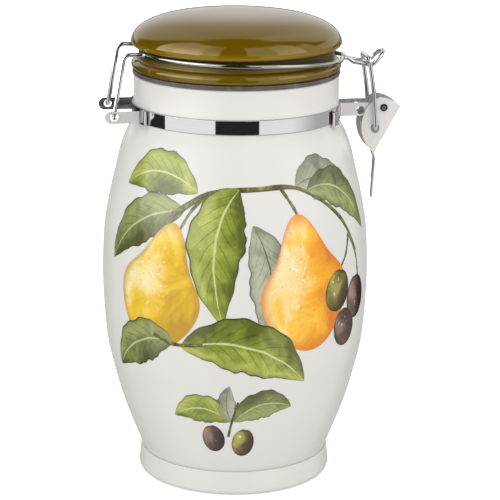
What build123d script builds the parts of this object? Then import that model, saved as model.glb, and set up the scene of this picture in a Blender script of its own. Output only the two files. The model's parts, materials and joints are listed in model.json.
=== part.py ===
"""Ceramic storage jar with a clip-down lid: jar, lid, seal, wire bail, neck band and lever latch.

Millimetres, +Z up. The origin is the centre of the foot's underside. The latch is on the +X side and
the lid's hinge on the -X side. Jar, lid and seal are turned about Z, the metal work is mirrored in Y.
"""
import os
from math import asin, atan2, cos, degrees, hypot, radians, sin, sqrt

from build123d import *

# Jar
body_diameter = 120.3
foot_step = 16.15
foot_height = 11.0
foot_round = 2.4
foot_taper = 1.1
foot_ring_width = 7.0
foot_recess_depth = 2.4
foot_recess_round = 1.5
crease_inset = 2.1
crease_drop = 0.3
shoulder_height = 163.4
shoulder_corner_out = 3.4
shoulder_corner_drop = 5.4
neck_step = 14.35
neck_height = 20.85
neck_wall = 5.3
rim_round = 1.2
jar_wall = 5.0
floor_thickness = 6.5
floor_inset = 7.0
inner_heel_inset = 1.7
inner_heel_rise = 8.0
inner_neck_rise = 2.6

# Places on the belly's outline, as shares of its height over the foot and of the body's radius
belly_shares = (
    (0.144, 0.842),
    (0.247, 0.916),
    (0.351, 0.972),
    (0.518, 1.000),
    (0.663, 0.990),
    (0.745, 0.962),
    (0.842, 0.909),
)
inner_belly_shares = ((0.144, 0.842), (0.351, 0.972), (0.518, 1.000), (0.745, 0.962), (0.900, 0.860))

# Slopes of the belly's ends, as shares outward and upward
crease_slope_shares = (0.42, 0, 1)
shoulder_slope_shares = (-1, 0, 2)
inner_neck_slope_shares = (1, 0, -2)
inner_heel_slope_shares = (-1, 0, -3)

# Seal
seal_thickness = 1.85
seal_overhang = 0.4
seal_to_plug = 0.2
seal_round = 0.4

# Lid
flange_overhang = 0.9
flange_thickness = 4.6
flange_round = 2.2
groove_depth = 3.6
groove_width = 5.5
groove_round = 0.8
dome_overhang = 1.2
dome_lip = 2.2
dome_centre_drop = 0.47
dome_crown = 15.73
dome_fullness_share = 2.75
dome_points = 6
dome_under_share = 0.61
dome_under_rise = 0.4
plug_to_mouth = 3.4
plug_taper = 1.9
plug_depth = 7.1
plug_wall = 4.8
plug_round = 1.4
lid_wall = 6.0
hollow_points = 4

# Wire bail
wire_diameter = 2.0
ring_to_groove = 1.4
ring_shift = 1.15
ring_under_dome = 0.1
ring_fall = 0.65
ring_bow_radius = 345.0
ring_hinge_angle = 125
ring_latch_angles = (70, 50, 30)
ring_bend = 3.0
hinge_past_neck = 10.2
leg_to_ear = 0.2
leg_top_inset = 4.65
leg_top_bend = 3.2
eye_bend = 1.5
eye_end_past_ear = 1.7
hook_spread = 9.8
hook_ring_bend = 2.0
hook_crest_run = 1.3
hook_crest_bend = 2.5
hook_drop_past_dome = 4.8
hook_drop_rise = 1.75
hook_low_rise = 0.85
hook_low_past_bar = 2.1
hook_low_bend = 1.7
hook_tip_run = 5.7
hook_tip_rise = 6.0

# Neck band, and the hooked seams that join it to the brackets
band_thickness = 0.4
band_height = 6.0
band_over_shoulder = 1.7
plate_thickness = 0.6
fold_gap = 0.08
hem_width = 3.2
hem_lap_inset = 1.0
hem_to_ear = 0.3
latch_hem_angle = 34.6
joggle_run = 1.2
seat_gap = 0.1

# Hinge ears
ear_spread = 33.0
ear_rise = 0.15
ear_height = 5.4
ear_past_hole = 4.1
ear_hole_diameter = 3.5
ear_hole_rise = 2.85
ear_root_bend = 1.2

# Latch arms
arm_spread = 10.2
arm_drop = 0.9
arm_height = 6.0
arm_root_bend = 1.4
arm_past_pivot = 3.5
spare_hole_diameter = 3.6
spare_hole_back = 10.5
spare_hole_rise = 2.6

# Lever
pivot_past_body = 5.95
pivot_rise = 3.7
cheek_thickness = 0.6
cheek_to_arm = 0.2
cheek_crown = 4.7
cheek_crown_back = 1.9
cheek_tip = 7.8
cheek_tip_rise = 0.4
cheek_shoulder = 3.2
cheek_foot_drop = 20.7
cheek_foot_back = 4.1
cheek_belly_back = 10.0
cheek_belly_drop = 9.6
cheek_neck_back = 7.4
cheek_neck_rise = 0.5
web_to_arm = 0.5
tab_length = 18.6
tab_half_width = 2.8
tab_end_half_width = 1.7
tab_out = 1.5
tab_lean = 1.0
tab_neck = 3.2
tab_bend = 3.0

# Rivet
rivet_diameter = 2.6
rivet_head_diameter = 3.4
rivet_head_thickness = 0.45
rivet_head_round = 0.15
rivet_bore_diameter = 1.6
rivet_bore_depth = 2.2
rivet_clearance = 0.05

# Link
link_eye_back = 3.8
link_eye_drop = 9.3
link_hole_diameter = 3.7
link_hole_drop = 0.4
link_bar_back = 7.6
link_bar_over_hook = 3.85
link_to_rivet = 0.15
link_bow = 0.7
link_bow_rise = 7.1
link_bow_radius = 20.0
link_top_bend = 2.0
link_end_to_arm = 0.1

# Angles
right_angle = 90
half_turn = 180

# Overrun of every cut
cut_over = 2.0

# Worked out from the sizes above: jar, seal and lid
body_radius = body_diameter / 2
foot_radius = body_radius - foot_step
recess_radius = foot_radius - foot_ring_width
crease_radius = foot_radius - crease_inset
neck_radius = body_radius - neck_step
mouth_radius = neck_radius - neck_wall
rim_height = shoulder_height + neck_height
plug_radius = mouth_radius - plug_to_mouth
dome_radius = neck_radius + dome_overhang
groove_radius = dome_radius - groove_depth
groove_top = flange_thickness + groove_width
lid_base = rim_height + seal_thickness

# Worked out: brackets and lever
band_low = shoulder_height + band_over_shoulder
ear_low = band_low + ear_rise
ear_side = ear_spread / 2
arm_low = band_low - arm_drop
arm_side = arm_spread / 2
inner_leg_radius = neck_radius + seat_gap + band_thickness / 2
leg_step = (band_thickness + plate_thickness) / 2 + fold_gap
hug_radius = neck_radius + seat_gap + plate_thickness / 2
hinge_reach = neck_radius + hinge_past_neck
hinge_height = ear_low + ear_hole_rise
pivot_reach = body_radius + pivot_past_body
pivot_height = arm_low + pivot_rise
arm_outer = arm_side + plate_thickness / 2
cheek_inner = arm_outer + cheek_to_arm
cheek_outer = cheek_inner + cheek_thickness
rivet_end = cheek_outer + rivet_clearance + rivet_head_thickness

# Worked out: wires
wire_radius = wire_diameter / 2
ring_radius = groove_radius + wire_radius + ring_to_groove
ring_hinge_height = lid_base + groove_top - wire_radius - ring_under_dome
ring_middle_height = ring_hinge_height - ring_fall
leg_side = ear_side - plate_thickness / 2 - leg_to_ear - wire_radius
leg_top_reach = hinge_reach - leg_top_inset
hook_low_height = lid_base + hook_low_rise
link_eye_reach = pivot_reach - link_eye_back
link_eye_height = pivot_height - link_eye_drop
link_bar_reach = pivot_reach - link_bar_back
link_bar_height = hook_low_height + link_bar_over_hook
link_bow_height = pivot_height + link_bow_rise
link_side = rivet_end + link_to_rivet + wire_radius


def at(radius, height):
    """A point of an outline that is turned about Z."""
    return (radius, 0, height)


def polar(radius, angle):
    """A point in plan, at an angle in degrees from +X."""
    return (radius * cos(radians(angle)), radius * sin(radians(angle)))


def lathe(edges):
    return revolve(make_face(edges), Axis.Z)


def flipped(shape):
    """The mirror image on the other side of the XZ plane."""
    return mirror(shape, about=Plane.XZ)


def quarter(centre, radius, start):
    """A quarter circle of an outline, anticlockwise from an angle in degrees."""
    angles = [radians(a) for a in (start, start + right_angle / 2, start + right_angle)]
    return ThreePointArc(*[at(centre[0] + radius * cos(a), centre[2] + radius * sin(a)) for a in angles])


# Jar


def belly_places(shares, wall):
    rise = shoulder_height - foot_height
    return [at(out * body_radius - wall, foot_height + up * rise) for up, out in shares]


def jar_outside():
    """The outside, from the underside's edge to the rim's top."""
    foot_top = at(foot_radius - foot_taper, foot_height)
    crease = at(crease_radius, foot_height - crease_drop)
    corner = at(neck_radius + shoulder_corner_out, shoulder_height - shoulder_corner_drop)
    belly = Spline(
        [crease, *belly_places(belly_shares, 0), corner],
        tangents=[crease_slope_shares, shoulder_slope_shares],
    )
    shoulder_arc = TangentArc([corner, at(neck_radius, shoulder_height)], tangent=belly % 1)
    foot_side = quarter(at(foot_radius - foot_round, foot_round), foot_round, -right_angle)
    rim_side = quarter(at(neck_radius - rim_round, rim_height - rim_round), rim_round, 0)
    return [
        foot_side,
        TangentArc([foot_side @ 1, foot_top], tangent=foot_side % 1),
        Line(foot_top, crease),
        belly,
        shoulder_arc,
        Line(at(neck_radius, shoulder_height), rim_side @ 0),
        rim_side,
    ]


def jar_inside():
    """The inside, from the rim's top down to the floor's centre."""
    floor = foot_recess_depth + floor_thickness
    floor_edge = at(recess_radius - floor_inset, floor)
    mouth_side = quarter(at(mouth_radius + rim_round, rim_height - rim_round), rim_round, right_angle)
    neck_foot = at(mouth_radius, shoulder_height + inner_neck_rise)
    heel = at(crease_radius - inner_heel_inset, foot_height + inner_heel_rise)
    places = belly_places(inner_belly_shares, jar_wall)
    belly = Spline(
        [neck_foot, *reversed(places), heel],
        tangents=[inner_neck_slope_shares, inner_heel_slope_shares],
    )
    return [
        mouth_side,
        Line(mouth_side @ 1, neck_foot),
        belly,
        TangentArc([heel, floor_edge], tangent=belly % 1),
        Line(floor_edge, at(0, floor)),
    ]


def jar_underside():
    """The recessed underside, from its centre out to the foot ring's edge."""
    centre = at(recess_radius - foot_recess_round, foot_recess_depth - foot_recess_round)
    corner = quarter(centre, foot_recess_round, 0)
    return [
        Line(at(0, foot_recess_depth), corner @ 1),
        corner,
        Line(corner @ 0, at(recess_radius, 0)),
        Line(at(recess_radius, 0), at(foot_radius - foot_round, 0)),
    ]


def jar_body():
    outside = jar_outside()
    inside = jar_inside()
    rim = Line(outside[-1] @ 1, inside[0] @ 0)
    axis = Line(inside[-1] @ 1, at(0, foot_recess_depth))
    return lathe([*outside, rim, *inside, axis, *jar_underside()])


# Seal and lid


def gasket():
    outer = neck_radius + seal_overhang
    bore = plug_radius + seal_to_plug
    section = RectangleRounded(outer - bore, seal_thickness, seal_round)
    place = Pos((outer + bore) / 2, rim_height + seal_thickness / 2)
    return revolve(Plane.XZ * place * section, Axis.Z)


def arc_chain(places, tangent=(1, 0, 0)):
    """Arcs that run on smoothly through their places, from a first direction."""
    chain = []
    for first, last in zip(places[:-1], places[1:]):
        chain.append(TangentArc([first, last], tangent=tangent))
        tangent = chain[-1] % 1
    return chain


def crown_places(radius, crown, centre, start, count):
    """Points of a squared-off dome, from its top down to an angle in degrees over its centre."""
    power = 2 / dome_fullness_share
    angles = [radians(right_angle - (right_angle - start) * i / count) for i in range(1, count + 1)]
    places = [at(radius * cos(a) ** power, centre + crown * sin(a) ** power) for a in angles]
    return [at(0, centre + crown), *places]


def lid():
    flange = neck_radius + flange_overhang
    plug_end = plug_radius - plug_taper
    hollow = plug_end - plug_wall
    bottom = lid_base - plug_depth
    flange_top = lid_base + flange_thickness
    groove_end = lid_base + groove_top
    centre = groove_end - dome_centre_drop
    edge_share = (dome_lip + dome_centre_drop) / dome_crown
    start = degrees(asin(edge_share ** (dome_fullness_share / 2)))
    crown = crown_places(dome_radius, dome_crown, centre, start, dome_points)
    vault = crown_places(hollow, dome_crown - lid_wall, centre, 0, hollow_points)
    plug_corner = quarter(at(plug_end - plug_round, bottom + plug_round), plug_round, -right_angle)
    flange_low = quarter(at(flange - flange_round, lid_base + flange_round), flange_round, -right_angle)
    flange_high = quarter(at(flange - flange_round, flange_top - flange_round), flange_round, 0)
    groove_low = quarter(at(groove_radius + groove_round, flange_top + groove_round), groove_round, half_turn)
    groove_corner = at(groove_radius + groove_round, groove_end - groove_round)
    groove_high = quarter(groove_corner, groove_round, right_angle)
    under = ThreePointArc(
        groove_high @ 0,
        at(groove_radius + groove_depth * dome_under_share, groove_end + dome_under_rise),
        crown[-1],
    )
    return lathe(
        [
            Line(vault[0], crown[0]),
            *arc_chain(crown),
            under,
            groove_high,
            Line(groove_high @ 1, groove_low @ 0),
            groove_low,
            Line(groove_low @ 1, flange_high @ 1),
            flange_high,
            Line(flange_high @ 0, flange_low @ 1),
            flange_low,
            Line(flange_low @ 0, at(plug_radius, lid_base)),
            Line(at(plug_radius, lid_base), plug_corner @ 1),
            plug_corner,
            Line(plug_corner @ 0, at(hollow, bottom)),
            Line(at(hollow, bottom), vault[-1]),
            *arc_chain(vault),
        ]
    )


# Wire


def wire_along(edges):
    """A round wire along a chain of edges."""
    path = Wire(edges)
    return sweep(Plane(path @ 0, z_dir=path % 0) * Circle(wire_radius), path=path)


def ring_point(along, side):
    """A point of the bail's ring, from its centre towards the latch, where it bows down, and sideways."""
    fall = along * ring_fall / ring_radius + max(along, 0) ** 2 / (2 * ring_bow_radius)
    return (ring_shift + along, side, ring_middle_height - fall)


def bend_middle(centre, bend, first, last):
    """The middle of a bend between two of its points, in plan."""
    x = (first[0] + last[0]) / 2 - centre[0]
    y = (first[1] + last[1]) / 2 - centre[1]
    reach = bend / hypot(x, y)
    return (centre[0] + x * reach, centre[1] + y * reach)


def ring_turn(side, bend, way):
    """The ring's bend into a straight at one end, way 1 at the latch and -1 at the hinge."""
    along = sqrt((ring_radius + bend) ** 2 - (side + bend) ** 2)
    share = ring_radius / (ring_radius + bend)
    on_ring = (way * along * share, (side + bend) * share)
    straight = (way * along, side)
    middle = bend_middle((way * along, side + bend), bend, on_ring, straight)
    return ring_point(*on_ring), ring_point(*middle), ring_point(*straight)


def lid_wire():
    """The bail: ring round the lid, legs to the hinge ears, and the hook at the latch side."""
    hook_side = hook_spread / 2
    hinge_ring, hinge_middle, hinge_straight = ring_turn(leg_side, ring_bend, -1)
    latch_ring, _, latch_straight = ring_turn(hook_side, hook_ring_bend, 1)
    leg = FilletPolyline(
        (-hinge_reach, ear_side + plate_thickness / 2 + eye_end_past_ear, hinge_height),
        (-hinge_reach, leg_side, hinge_height),
        ring_point(-leg_top_reach - ring_shift, leg_side),
        hinge_straight,
        radius=[eye_bend, leg_top_bend],
    )
    hinge_part = ThreePointArc(
        hinge_ring,
        ring_point(*polar(ring_radius, ring_hinge_angle)),
        ring_point(0, ring_radius),
    )
    bowed = [ring_point(*polar(ring_radius, angle)) for angle in ring_latch_angles]
    latch_part = arc_chain([hinge_part @ 1, *bowed, latch_ring, latch_straight], hinge_part % 1)
    low_reach = link_bar_reach + hook_low_past_bar
    tip = (low_reach + hook_tip_run, 0, hook_low_height + hook_tip_rise)
    back = hook_side / hypot(hook_tip_run, hook_tip_rise)
    loop_reach = tip[0] - hook_tip_run * back
    loop_height = tip[2] - hook_tip_rise * back
    hook = FilletPolyline(
        latch_part[-1] @ 1,
        latch_part[-1] @ 1 + (latch_part[-1] % 1) * hook_crest_run,
        (dome_radius + hook_drop_past_dome, hook_side, hook_low_height + hook_drop_rise),
        (low_reach, hook_side, hook_low_height),
        (loop_reach, hook_side, loop_height),
        radius=[hook_crest_bend, hook_crest_bend, hook_low_bend],
    )
    lift = cos(radians(right_angle / 2))
    loop = ThreePointArc(
        hook @ 1,
        (
            loop_reach + (tip[0] - loop_reach) * lift,
            hook_side * lift,
            loop_height + (tip[2] - loop_height) * lift,
        ),
        tip,
    )
    half = wire_along(
        [
            *leg.edges(),
            ThreePointArc(hinge_straight, hinge_middle, hinge_ring),
            hinge_part,
            *latch_part,
            *hook.edges(),
            loop,
        ]
    )
    return half + flipped(half)


def latch_link():
    """The sprung wire loop between the lever's holes and the hook."""
    end = arm_outer + link_end_to_arm
    share = (link_bow_height - link_eye_height) / (link_bar_height - link_eye_height)
    bow_reach = link_eye_reach + (link_bar_reach - link_eye_reach) * share + link_bow
    corners = [
        (link_eye_reach, end, link_eye_height),
        (link_eye_reach, link_side, link_eye_height),
        (bow_reach, link_side, link_bow_height),
        (link_bar_reach, link_side, link_bar_height),
    ]
    others = [(x, -y, z) for x, y, z in reversed(corners)]
    bends = [eye_bend, link_bow_radius, link_top_bend]
    path = FilletPolyline(*corners, *others, radius=[*bends, *reversed(bends)])
    return wire_along(path.edges())


# Neck band and brackets


def strip(edges, thickness, low, height):
    """Sheet metal on edge: a line in plan given its thickness and its height."""
    return extrude(Pos(0, 0, low) * trace(edges, thickness), height, dir=(0, 0, 1))


def round_arc(radius, first, last):
    """An arc round the neck between two angles in degrees."""
    return ThreePointArc(polar(radius, first), polar(radius, (first + last) / 2), polar(radius, last))


def seam_angle(angle, way, run):
    """The angle at a distance round the neck from a seam's edge, way 1 or -1 towards the bracket."""
    return angle + way * degrees(run / neck_radius)


def band_hook(angle, way):
    """The band's end: under the bracket's fold, then folded out and back."""
    outer = inner_leg_radius + 2 * leg_step
    turn = seam_angle(angle, way, hem_width)
    bend = leg_step - fold_gap
    return FilletPolyline(
        polar(inner_leg_radius, seam_angle(angle, way, -hem_lap_inset)),
        polar(inner_leg_radius, turn),
        polar(outer, turn),
        polar(outer, seam_angle(angle, way, hem_lap_inset)),
        radius=bend,
    )


def bracket_hook(angle, way, run):
    """A bracket's end: over the band's fold, then folded in and back. It starts at a distance away."""
    inner = inner_leg_radius + leg_step
    outer = inner + 2 * leg_step
    bend = leg_step - fold_gap
    return FilletPolyline(
        polar(outer, seam_angle(angle, way, run)),
        polar(outer, angle),
        polar(inner, angle),
        polar(inner, seam_angle(angle, way, hem_width - hem_lap_inset)),
        radius=bend,
    )


def hinge_seam():
    """The angle from the hinge side to the seam's far edge."""
    root = degrees(asin(ear_side / (inner_leg_radius + 2 * leg_step)))
    return root + degrees((plate_thickness / 2 + hem_to_ear + hem_width) / neck_radius)


def rear_band():
    """The band's rear half, from the hinge bracket's hem to the latch arm's."""
    hinge = half_turn - hinge_seam()
    at_hinge = band_hook(hinge, 1)
    at_latch = band_hook(latch_hem_angle, -1)
    middle = round_arc(
        inner_leg_radius,
        seam_angle(latch_hem_angle, -1, -hem_lap_inset),
        seam_angle(hinge, 1, -hem_lap_inset),
    )
    return strip([*at_latch.edges(), middle, *at_hinge.edges()], band_thickness, band_low, band_height)


def front_band():
    return flipped(rear_band())


def ear(low_reach):
    """One hinge ear beyond its root's bend, on the +Y side."""
    half = ear_height / 2
    ear_reach = hinge_reach + ear_past_hole
    length = ear_reach - low_reach
    blank = Pos(-low_reach - (length - half) / 2, ear_low + half) * Rectangle(length - half, ear_height)
    tip = Pos(half - ear_reach, ear_low + half) * Circle(half)
    hole = Pos(-hinge_reach, hinge_height) * Circle(ear_hole_diameter / 2)
    face = Plane.XZ.offset(-ear_side) * (blank + tip - hole)
    return extrude(face, plate_thickness / 2, both=True)


def hinge_bracket():
    """A strip against the neck with an ear at each end, and a hem outside each ear."""
    low_reach = sqrt((hug_radius + ear_root_bend) ** 2 - (ear_side - ear_root_bend) ** 2)
    ear_plate = ear(low_reach)
    centre = (-low_reach, ear_side - ear_root_bend)
    share = hug_radius / (hug_radius + ear_root_bend)
    on_neck = (centre[0] * share, centre[1] * share)
    straight = (-low_reach, ear_side)
    turn = ThreePointArc(straight, bend_middle(centre, ear_root_bend, straight, on_neck), on_neck)
    hug = ThreePointArc(on_neck, (-hug_radius, 0), (on_neck[0], -on_neck[1]))
    saddle = strip([turn, hug, *flipped(turn).edges()], plate_thickness, band_low, band_height)
    run = hem_width + hem_to_ear + plate_thickness / 2
    flap = bracket_hook(half_turn - hinge_seam(), 1, run)
    hem = strip(flap.edges(), plate_thickness, band_low, band_height)
    return saddle + ear_plate + hem + flipped(ear_plate) + flipped(hem)


def latch_arm_rear():
    """A strip from the band's hem along the neck, then straight out to the rivet."""
    hook_run = hem_width + joggle_run
    hook = bracket_hook(latch_hem_angle, -1, hook_run)
    hug_start = seam_angle(latch_hem_angle, -1, hook_run + joggle_run)
    along = sqrt((hug_radius + arm_root_bend) ** 2 - (arm_side + arm_root_bend) ** 2)
    share = hug_radius / (hug_radius + arm_root_bend)
    on_neck = (along * share, (arm_side + arm_root_bend) * share)
    root_angle = degrees(atan2(on_neck[1], on_neck[0]))
    straight = (along, arm_side)
    middle = bend_middle((along, arm_side + arm_root_bend), arm_root_bend, straight, on_neck)
    end = pivot_reach + arm_past_pivot
    path = [
        *hook.edges(),
        Line(hook @ 0, polar(hug_radius, hug_start)),
        round_arc(hug_radius, hug_start, root_angle),
        ThreePointArc(on_neck, middle, straight),
        Line(straight, (end, arm_side)),
    ]
    blank = strip(path, plate_thickness, arm_low, arm_height)
    half = arm_height / 2
    reach = end - half
    straight_part = Pos(reach / 2, arm_low + half) * Rectangle(reach, arm_height)
    round_end = Pos(reach, arm_low + half) * Circle(half)
    spare_place = Pos(pivot_reach - spare_hole_back, arm_low + spare_hole_rise)
    spare = spare_place * Circle(spare_hole_diameter / 2)
    rivet = Pos(pivot_reach, pivot_height) * Circle(rivet_diameter / 2 + rivet_clearance)
    outline = Plane.XZ * (straight_part + round_end - spare - rivet)
    return blank & extrude(outline, -body_radius)


def latch_arm_front():
    return flipped(latch_arm_rear())


# Lever and rivet


def from_pivot(out, up):
    return (pivot_reach + out, pivot_height + up)


def lever_back():
    """The curved edge on the jar's side, from its foot up to the neck of the cheek."""
    foot = from_pivot(-cheek_foot_back, -cheek_foot_drop)
    belly = from_pivot(-cheek_belly_back, -cheek_belly_drop)
    neck = from_pivot(-cheek_neck_back, cheek_neck_rise)
    return ThreePointArc(foot, belly, neck)


def cheek_outline():
    back = lever_back()
    crown = from_pivot(-cheek_crown_back, cheek_crown)
    tip = from_pivot(cheek_tip, cheek_tip_rise)
    shoulder = from_pivot(cheek_tip / 2, cheek_shoulder)
    return make_face(
        [
            back,
            TangentArc([back @ 1, crown], tangent=back % 1),
            ThreePointArc(crown, shoulder, tip),
            Line(tip, back @ 0),
        ]
    )


def tongue(high, low):
    """The finger tab seen along X: it narrows between two heights to a rounded end."""
    end = low + tab_end_half_width
    side = [(tab_half_width, high), (tab_end_half_width, end)]
    other = [(-y, z) for y, z in reversed(side)]
    outline = make_face(Polyline(*side, *other, close=True)) + Pos(0, end) * Circle(tab_end_half_width)
    return extrude(Plane.YZ * outline, 2 * body_radius)


def latch_lever():
    """Two cheeks joined by a web along the curved edge, which runs on into the finger tab."""
    outline = cheek_outline()
    whole = extrude(Plane.XZ * outline, cheek_outer, both=True)
    back = lever_back()
    circle = back.arc_center
    inner_radius = back.radius - cheek_thickness
    web_top = arm_low - web_to_arm
    hollow = Pos(circle.X, circle.Y) * Circle(inner_radius)
    span = 2 * back.radius
    above = Pos(circle.X, web_top + span / 2) * Rectangle(2 * span, span)
    outside = Pos(circle.X + span / 2, circle.Y) * Rectangle(span, 2 * span)
    room = extrude(Plane.XZ * (hollow + above + outside), cheek_inner, both=True)
    foot = back @ 0
    tab_top = foot.Y - tab_neck
    tab_out_at = foot.X + tab_out
    tab_line = FilletPolyline(
        (foot.X, foot.Y + cheek_thickness),
        (tab_out_at, tab_top),
        (tab_out_at - tab_lean, tab_top - tab_length),
        radius=tab_bend,
    )
    tab = extrude(Plane.XZ * trace(tab_line, cheek_thickness), tab_half_width, both=True)
    tab = tab & tongue(foot.Y + cut_over, tab_top - tab_length)
    holes = Pos(pivot_reach, pivot_height) * Circle(rivet_diameter / 2 + rivet_clearance)
    eye = Pos(link_eye_reach, link_eye_height - link_hole_drop) * Circle(link_hole_diameter / 2)
    drill = extrude(Plane.XZ * (holes + eye), cheek_outer + cut_over, both=True)
    return whole - room + tab - drill


def lever_rivet():
    """A tubular rivet through both arms and both cheeks."""
    place = Pos(pivot_reach, pivot_height)
    body = extrude(Plane.XZ * place * Circle(rivet_diameter / 2), rivet_end, both=True)
    head_face = Plane.XZ.offset(cheek_outer + rivet_clearance) * place * Circle(rivet_head_diameter / 2)
    head = extrude(head_face, rivet_head_thickness)
    head = fillet(head.edges().group_by(Axis.Y)[0], rivet_head_round)
    bore_face = Plane.XZ.offset(rivet_end - rivet_bore_depth) * place * Circle(rivet_bore_diameter / 2)
    bore = extrude(bore_face, rivet_bore_depth + cut_over)
    return body + head + flipped(head) - bore - flipped(bore)


nodes = {
    "jar_body": jar_body,
    "gasket": gasket,
    "lid": lid,
    "lid_wire": lid_wire,
    "front_band": front_band,
    "rear_band": rear_band,
    "hinge_bracket": hinge_bracket,
    "latch_arm_front": latch_arm_front,
    "latch_arm_rear": latch_arm_rear,
    "latch_lever": latch_lever,
    "latch_link": latch_link,
    "lever_rivet": lever_rivet,
}

os.makedirs("parts", exist_ok=True)
for name, make in nodes.items():
    export_step(make(), f"parts/{name}.step")
    print(name)
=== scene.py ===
"""A glazed storage jar with an olive lid, a rubber seal, a wire bail and a lever latch.

Metres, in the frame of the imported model: +Z up, the latch on the +X side, the lid's hinge on -X.
Sizes are named in millimetres and multiplied by MM where they are used. The heights of the rim and
the lid and the places of the joints are read from the frame. The jar's fruit print is a free design.
"""
import json
import math
from collections import namedtuple
from functools import reduce

import bpy
from mathutils import Matrix, Vector

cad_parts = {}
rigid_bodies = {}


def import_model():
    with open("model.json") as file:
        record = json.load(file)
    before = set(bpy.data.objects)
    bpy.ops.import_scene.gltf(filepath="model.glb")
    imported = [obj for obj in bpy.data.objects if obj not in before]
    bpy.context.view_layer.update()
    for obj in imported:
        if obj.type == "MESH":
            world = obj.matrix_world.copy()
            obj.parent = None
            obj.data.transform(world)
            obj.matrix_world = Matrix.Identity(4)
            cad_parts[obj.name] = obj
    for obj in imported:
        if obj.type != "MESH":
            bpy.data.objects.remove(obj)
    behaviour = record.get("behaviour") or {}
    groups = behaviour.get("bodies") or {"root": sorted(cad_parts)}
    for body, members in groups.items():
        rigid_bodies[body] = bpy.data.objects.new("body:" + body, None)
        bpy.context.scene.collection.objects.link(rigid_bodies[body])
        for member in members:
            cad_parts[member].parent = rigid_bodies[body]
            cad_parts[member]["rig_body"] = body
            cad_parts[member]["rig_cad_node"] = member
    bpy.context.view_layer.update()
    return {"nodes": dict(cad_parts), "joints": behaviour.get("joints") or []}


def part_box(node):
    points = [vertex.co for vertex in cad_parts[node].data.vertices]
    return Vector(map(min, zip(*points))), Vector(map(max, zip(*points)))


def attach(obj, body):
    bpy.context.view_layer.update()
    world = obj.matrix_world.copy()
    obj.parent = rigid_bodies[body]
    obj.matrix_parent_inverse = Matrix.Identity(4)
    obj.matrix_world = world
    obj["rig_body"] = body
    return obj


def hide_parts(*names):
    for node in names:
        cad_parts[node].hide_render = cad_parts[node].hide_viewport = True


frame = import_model()
MM = 0.001


def top_of(node):
    """How high a solid reaches, in millimetres."""
    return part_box(node)[1][2] / MM


def joint_place(name):
    """How far a joint lies from the jar's axis towards the latch, and how high, in millimetres."""
    x, _, z = next(joint["pos_m"] for joint in frame["joints"] if joint["name"] == name)
    return x / MM, z / MM


# Sizes in millimetres, and places as (radius, height)

# Keeps faces and points apart that would otherwise lie in one place
HAIR = 0.01

# Jar
BODY_RADIUS = 60.15
FOOT_RADIUS = 44.0
FOOT_HEIGHT = 11.0
# The solid's foot bows out a little. Here its side is straight and stands out by this much
FOOT_BOW = 0.05
FOOT_TAPER = 1.1
FOOT_ROUND = 2.4
FOOT_TOP_EDGE = (0.35, 0.05)
RECESS_RADIUS = FOOT_RADIUS - 7.0
RECESS_DEPTH = 2.4
RECESS_ROUND = 1.5
CREASE = (FOOT_RADIUS - 2.1, FOOT_HEIGHT - 0.3)
SHOULDER_HEIGHT = 163.4
SHOULDER_CORNER = (49.2, SHOULDER_HEIGHT - 5.4)
SHOULDER_MIDDLE = (47.57, SHOULDER_HEIGHT - 2.5)
NECK_RADIUS = 45.8
MOUTH_RADIUS = NECK_RADIUS - 5.3
RIM_HEIGHT = top_of("jar_body")
RIM_ROUND = 1.2
WALL = 5.0
INNER_NECK_FOOT = (MOUTH_RADIUS, SHOULDER_HEIGHT + 2.6)
HEEL = (CREASE[0] - 1.7, FOOT_HEIGHT + 8.0)
HEEL_BEND = (36.3, 12.7)
FLOOR_EDGE = (RECESS_RADIUS - 7.0, RECESS_DEPTH + 6.5)
MIDDLE_RADII = (12.0, 1.0)

# Places on the belly, as shares of its height over the foot and of the body's radius
BELLY = (
    (0.144, 0.842), (0.247, 0.916), (0.351, 0.972), (0.518, 1.000),
    (0.663, 0.990), (0.745, 0.962), (0.842, 0.909),
)
INNER_BELLY = ((0.144, 0.842), (0.351, 0.972), (0.518, 1.000), (0.745, 0.962), (0.900, 0.860))

# Directions (out, up) in which the jar's curves start and end
CREASE_SLOPE = (0.42, 1)
SHOULDER_SLOPE = (-1, 2)
INNER_NECK_SLOPE = (1, -2)
HEEL_SLOPE = (-1, -3)
FLOOR_SLOPE = (-1, -0.3)

# Seal
LID_BASE = top_of("gasket")
PLUG_RADIUS = MOUTH_RADIUS - 3.4
SEAL_RADIUS = NECK_RADIUS + 0.4
SEAL_BORE = PLUG_RADIUS + 0.25
SEAL_START = 40.0
SEAL_ROUND = 0.4
PARTING_HALF_WIDTH = 0.12
PARTING_DEPTH = 0.08

# Lid
PLUG_END_RADIUS = PLUG_RADIUS - 1.9
PLUG_LOW = LID_BASE - 7.1
PLUG_ROUND = 1.4
HOLLOW_RADIUS = PLUG_END_RADIUS - 4.8
LID_WALL = 6.0
FLANGE_RADIUS = NECK_RADIUS + 0.9
FLANGE_ROUND = 2.2
DOME_RADIUS = NECK_RADIUS + 1.2
DOME_CROWN = 15.73
DOME_FULLNESS = 2.75
DOME_CENTRE_DROP = 0.47
DOME_LIP = 2.2
DOME_UNDER = (2.2, 0.4)
GROOVE_RADIUS = DOME_RADIUS - 3.6
GROOVE_LOW = LID_BASE + 4.6
GROOVE_HIGH = GROOVE_LOW + 5.5
GROOVE_ROUND = 0.8

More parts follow.
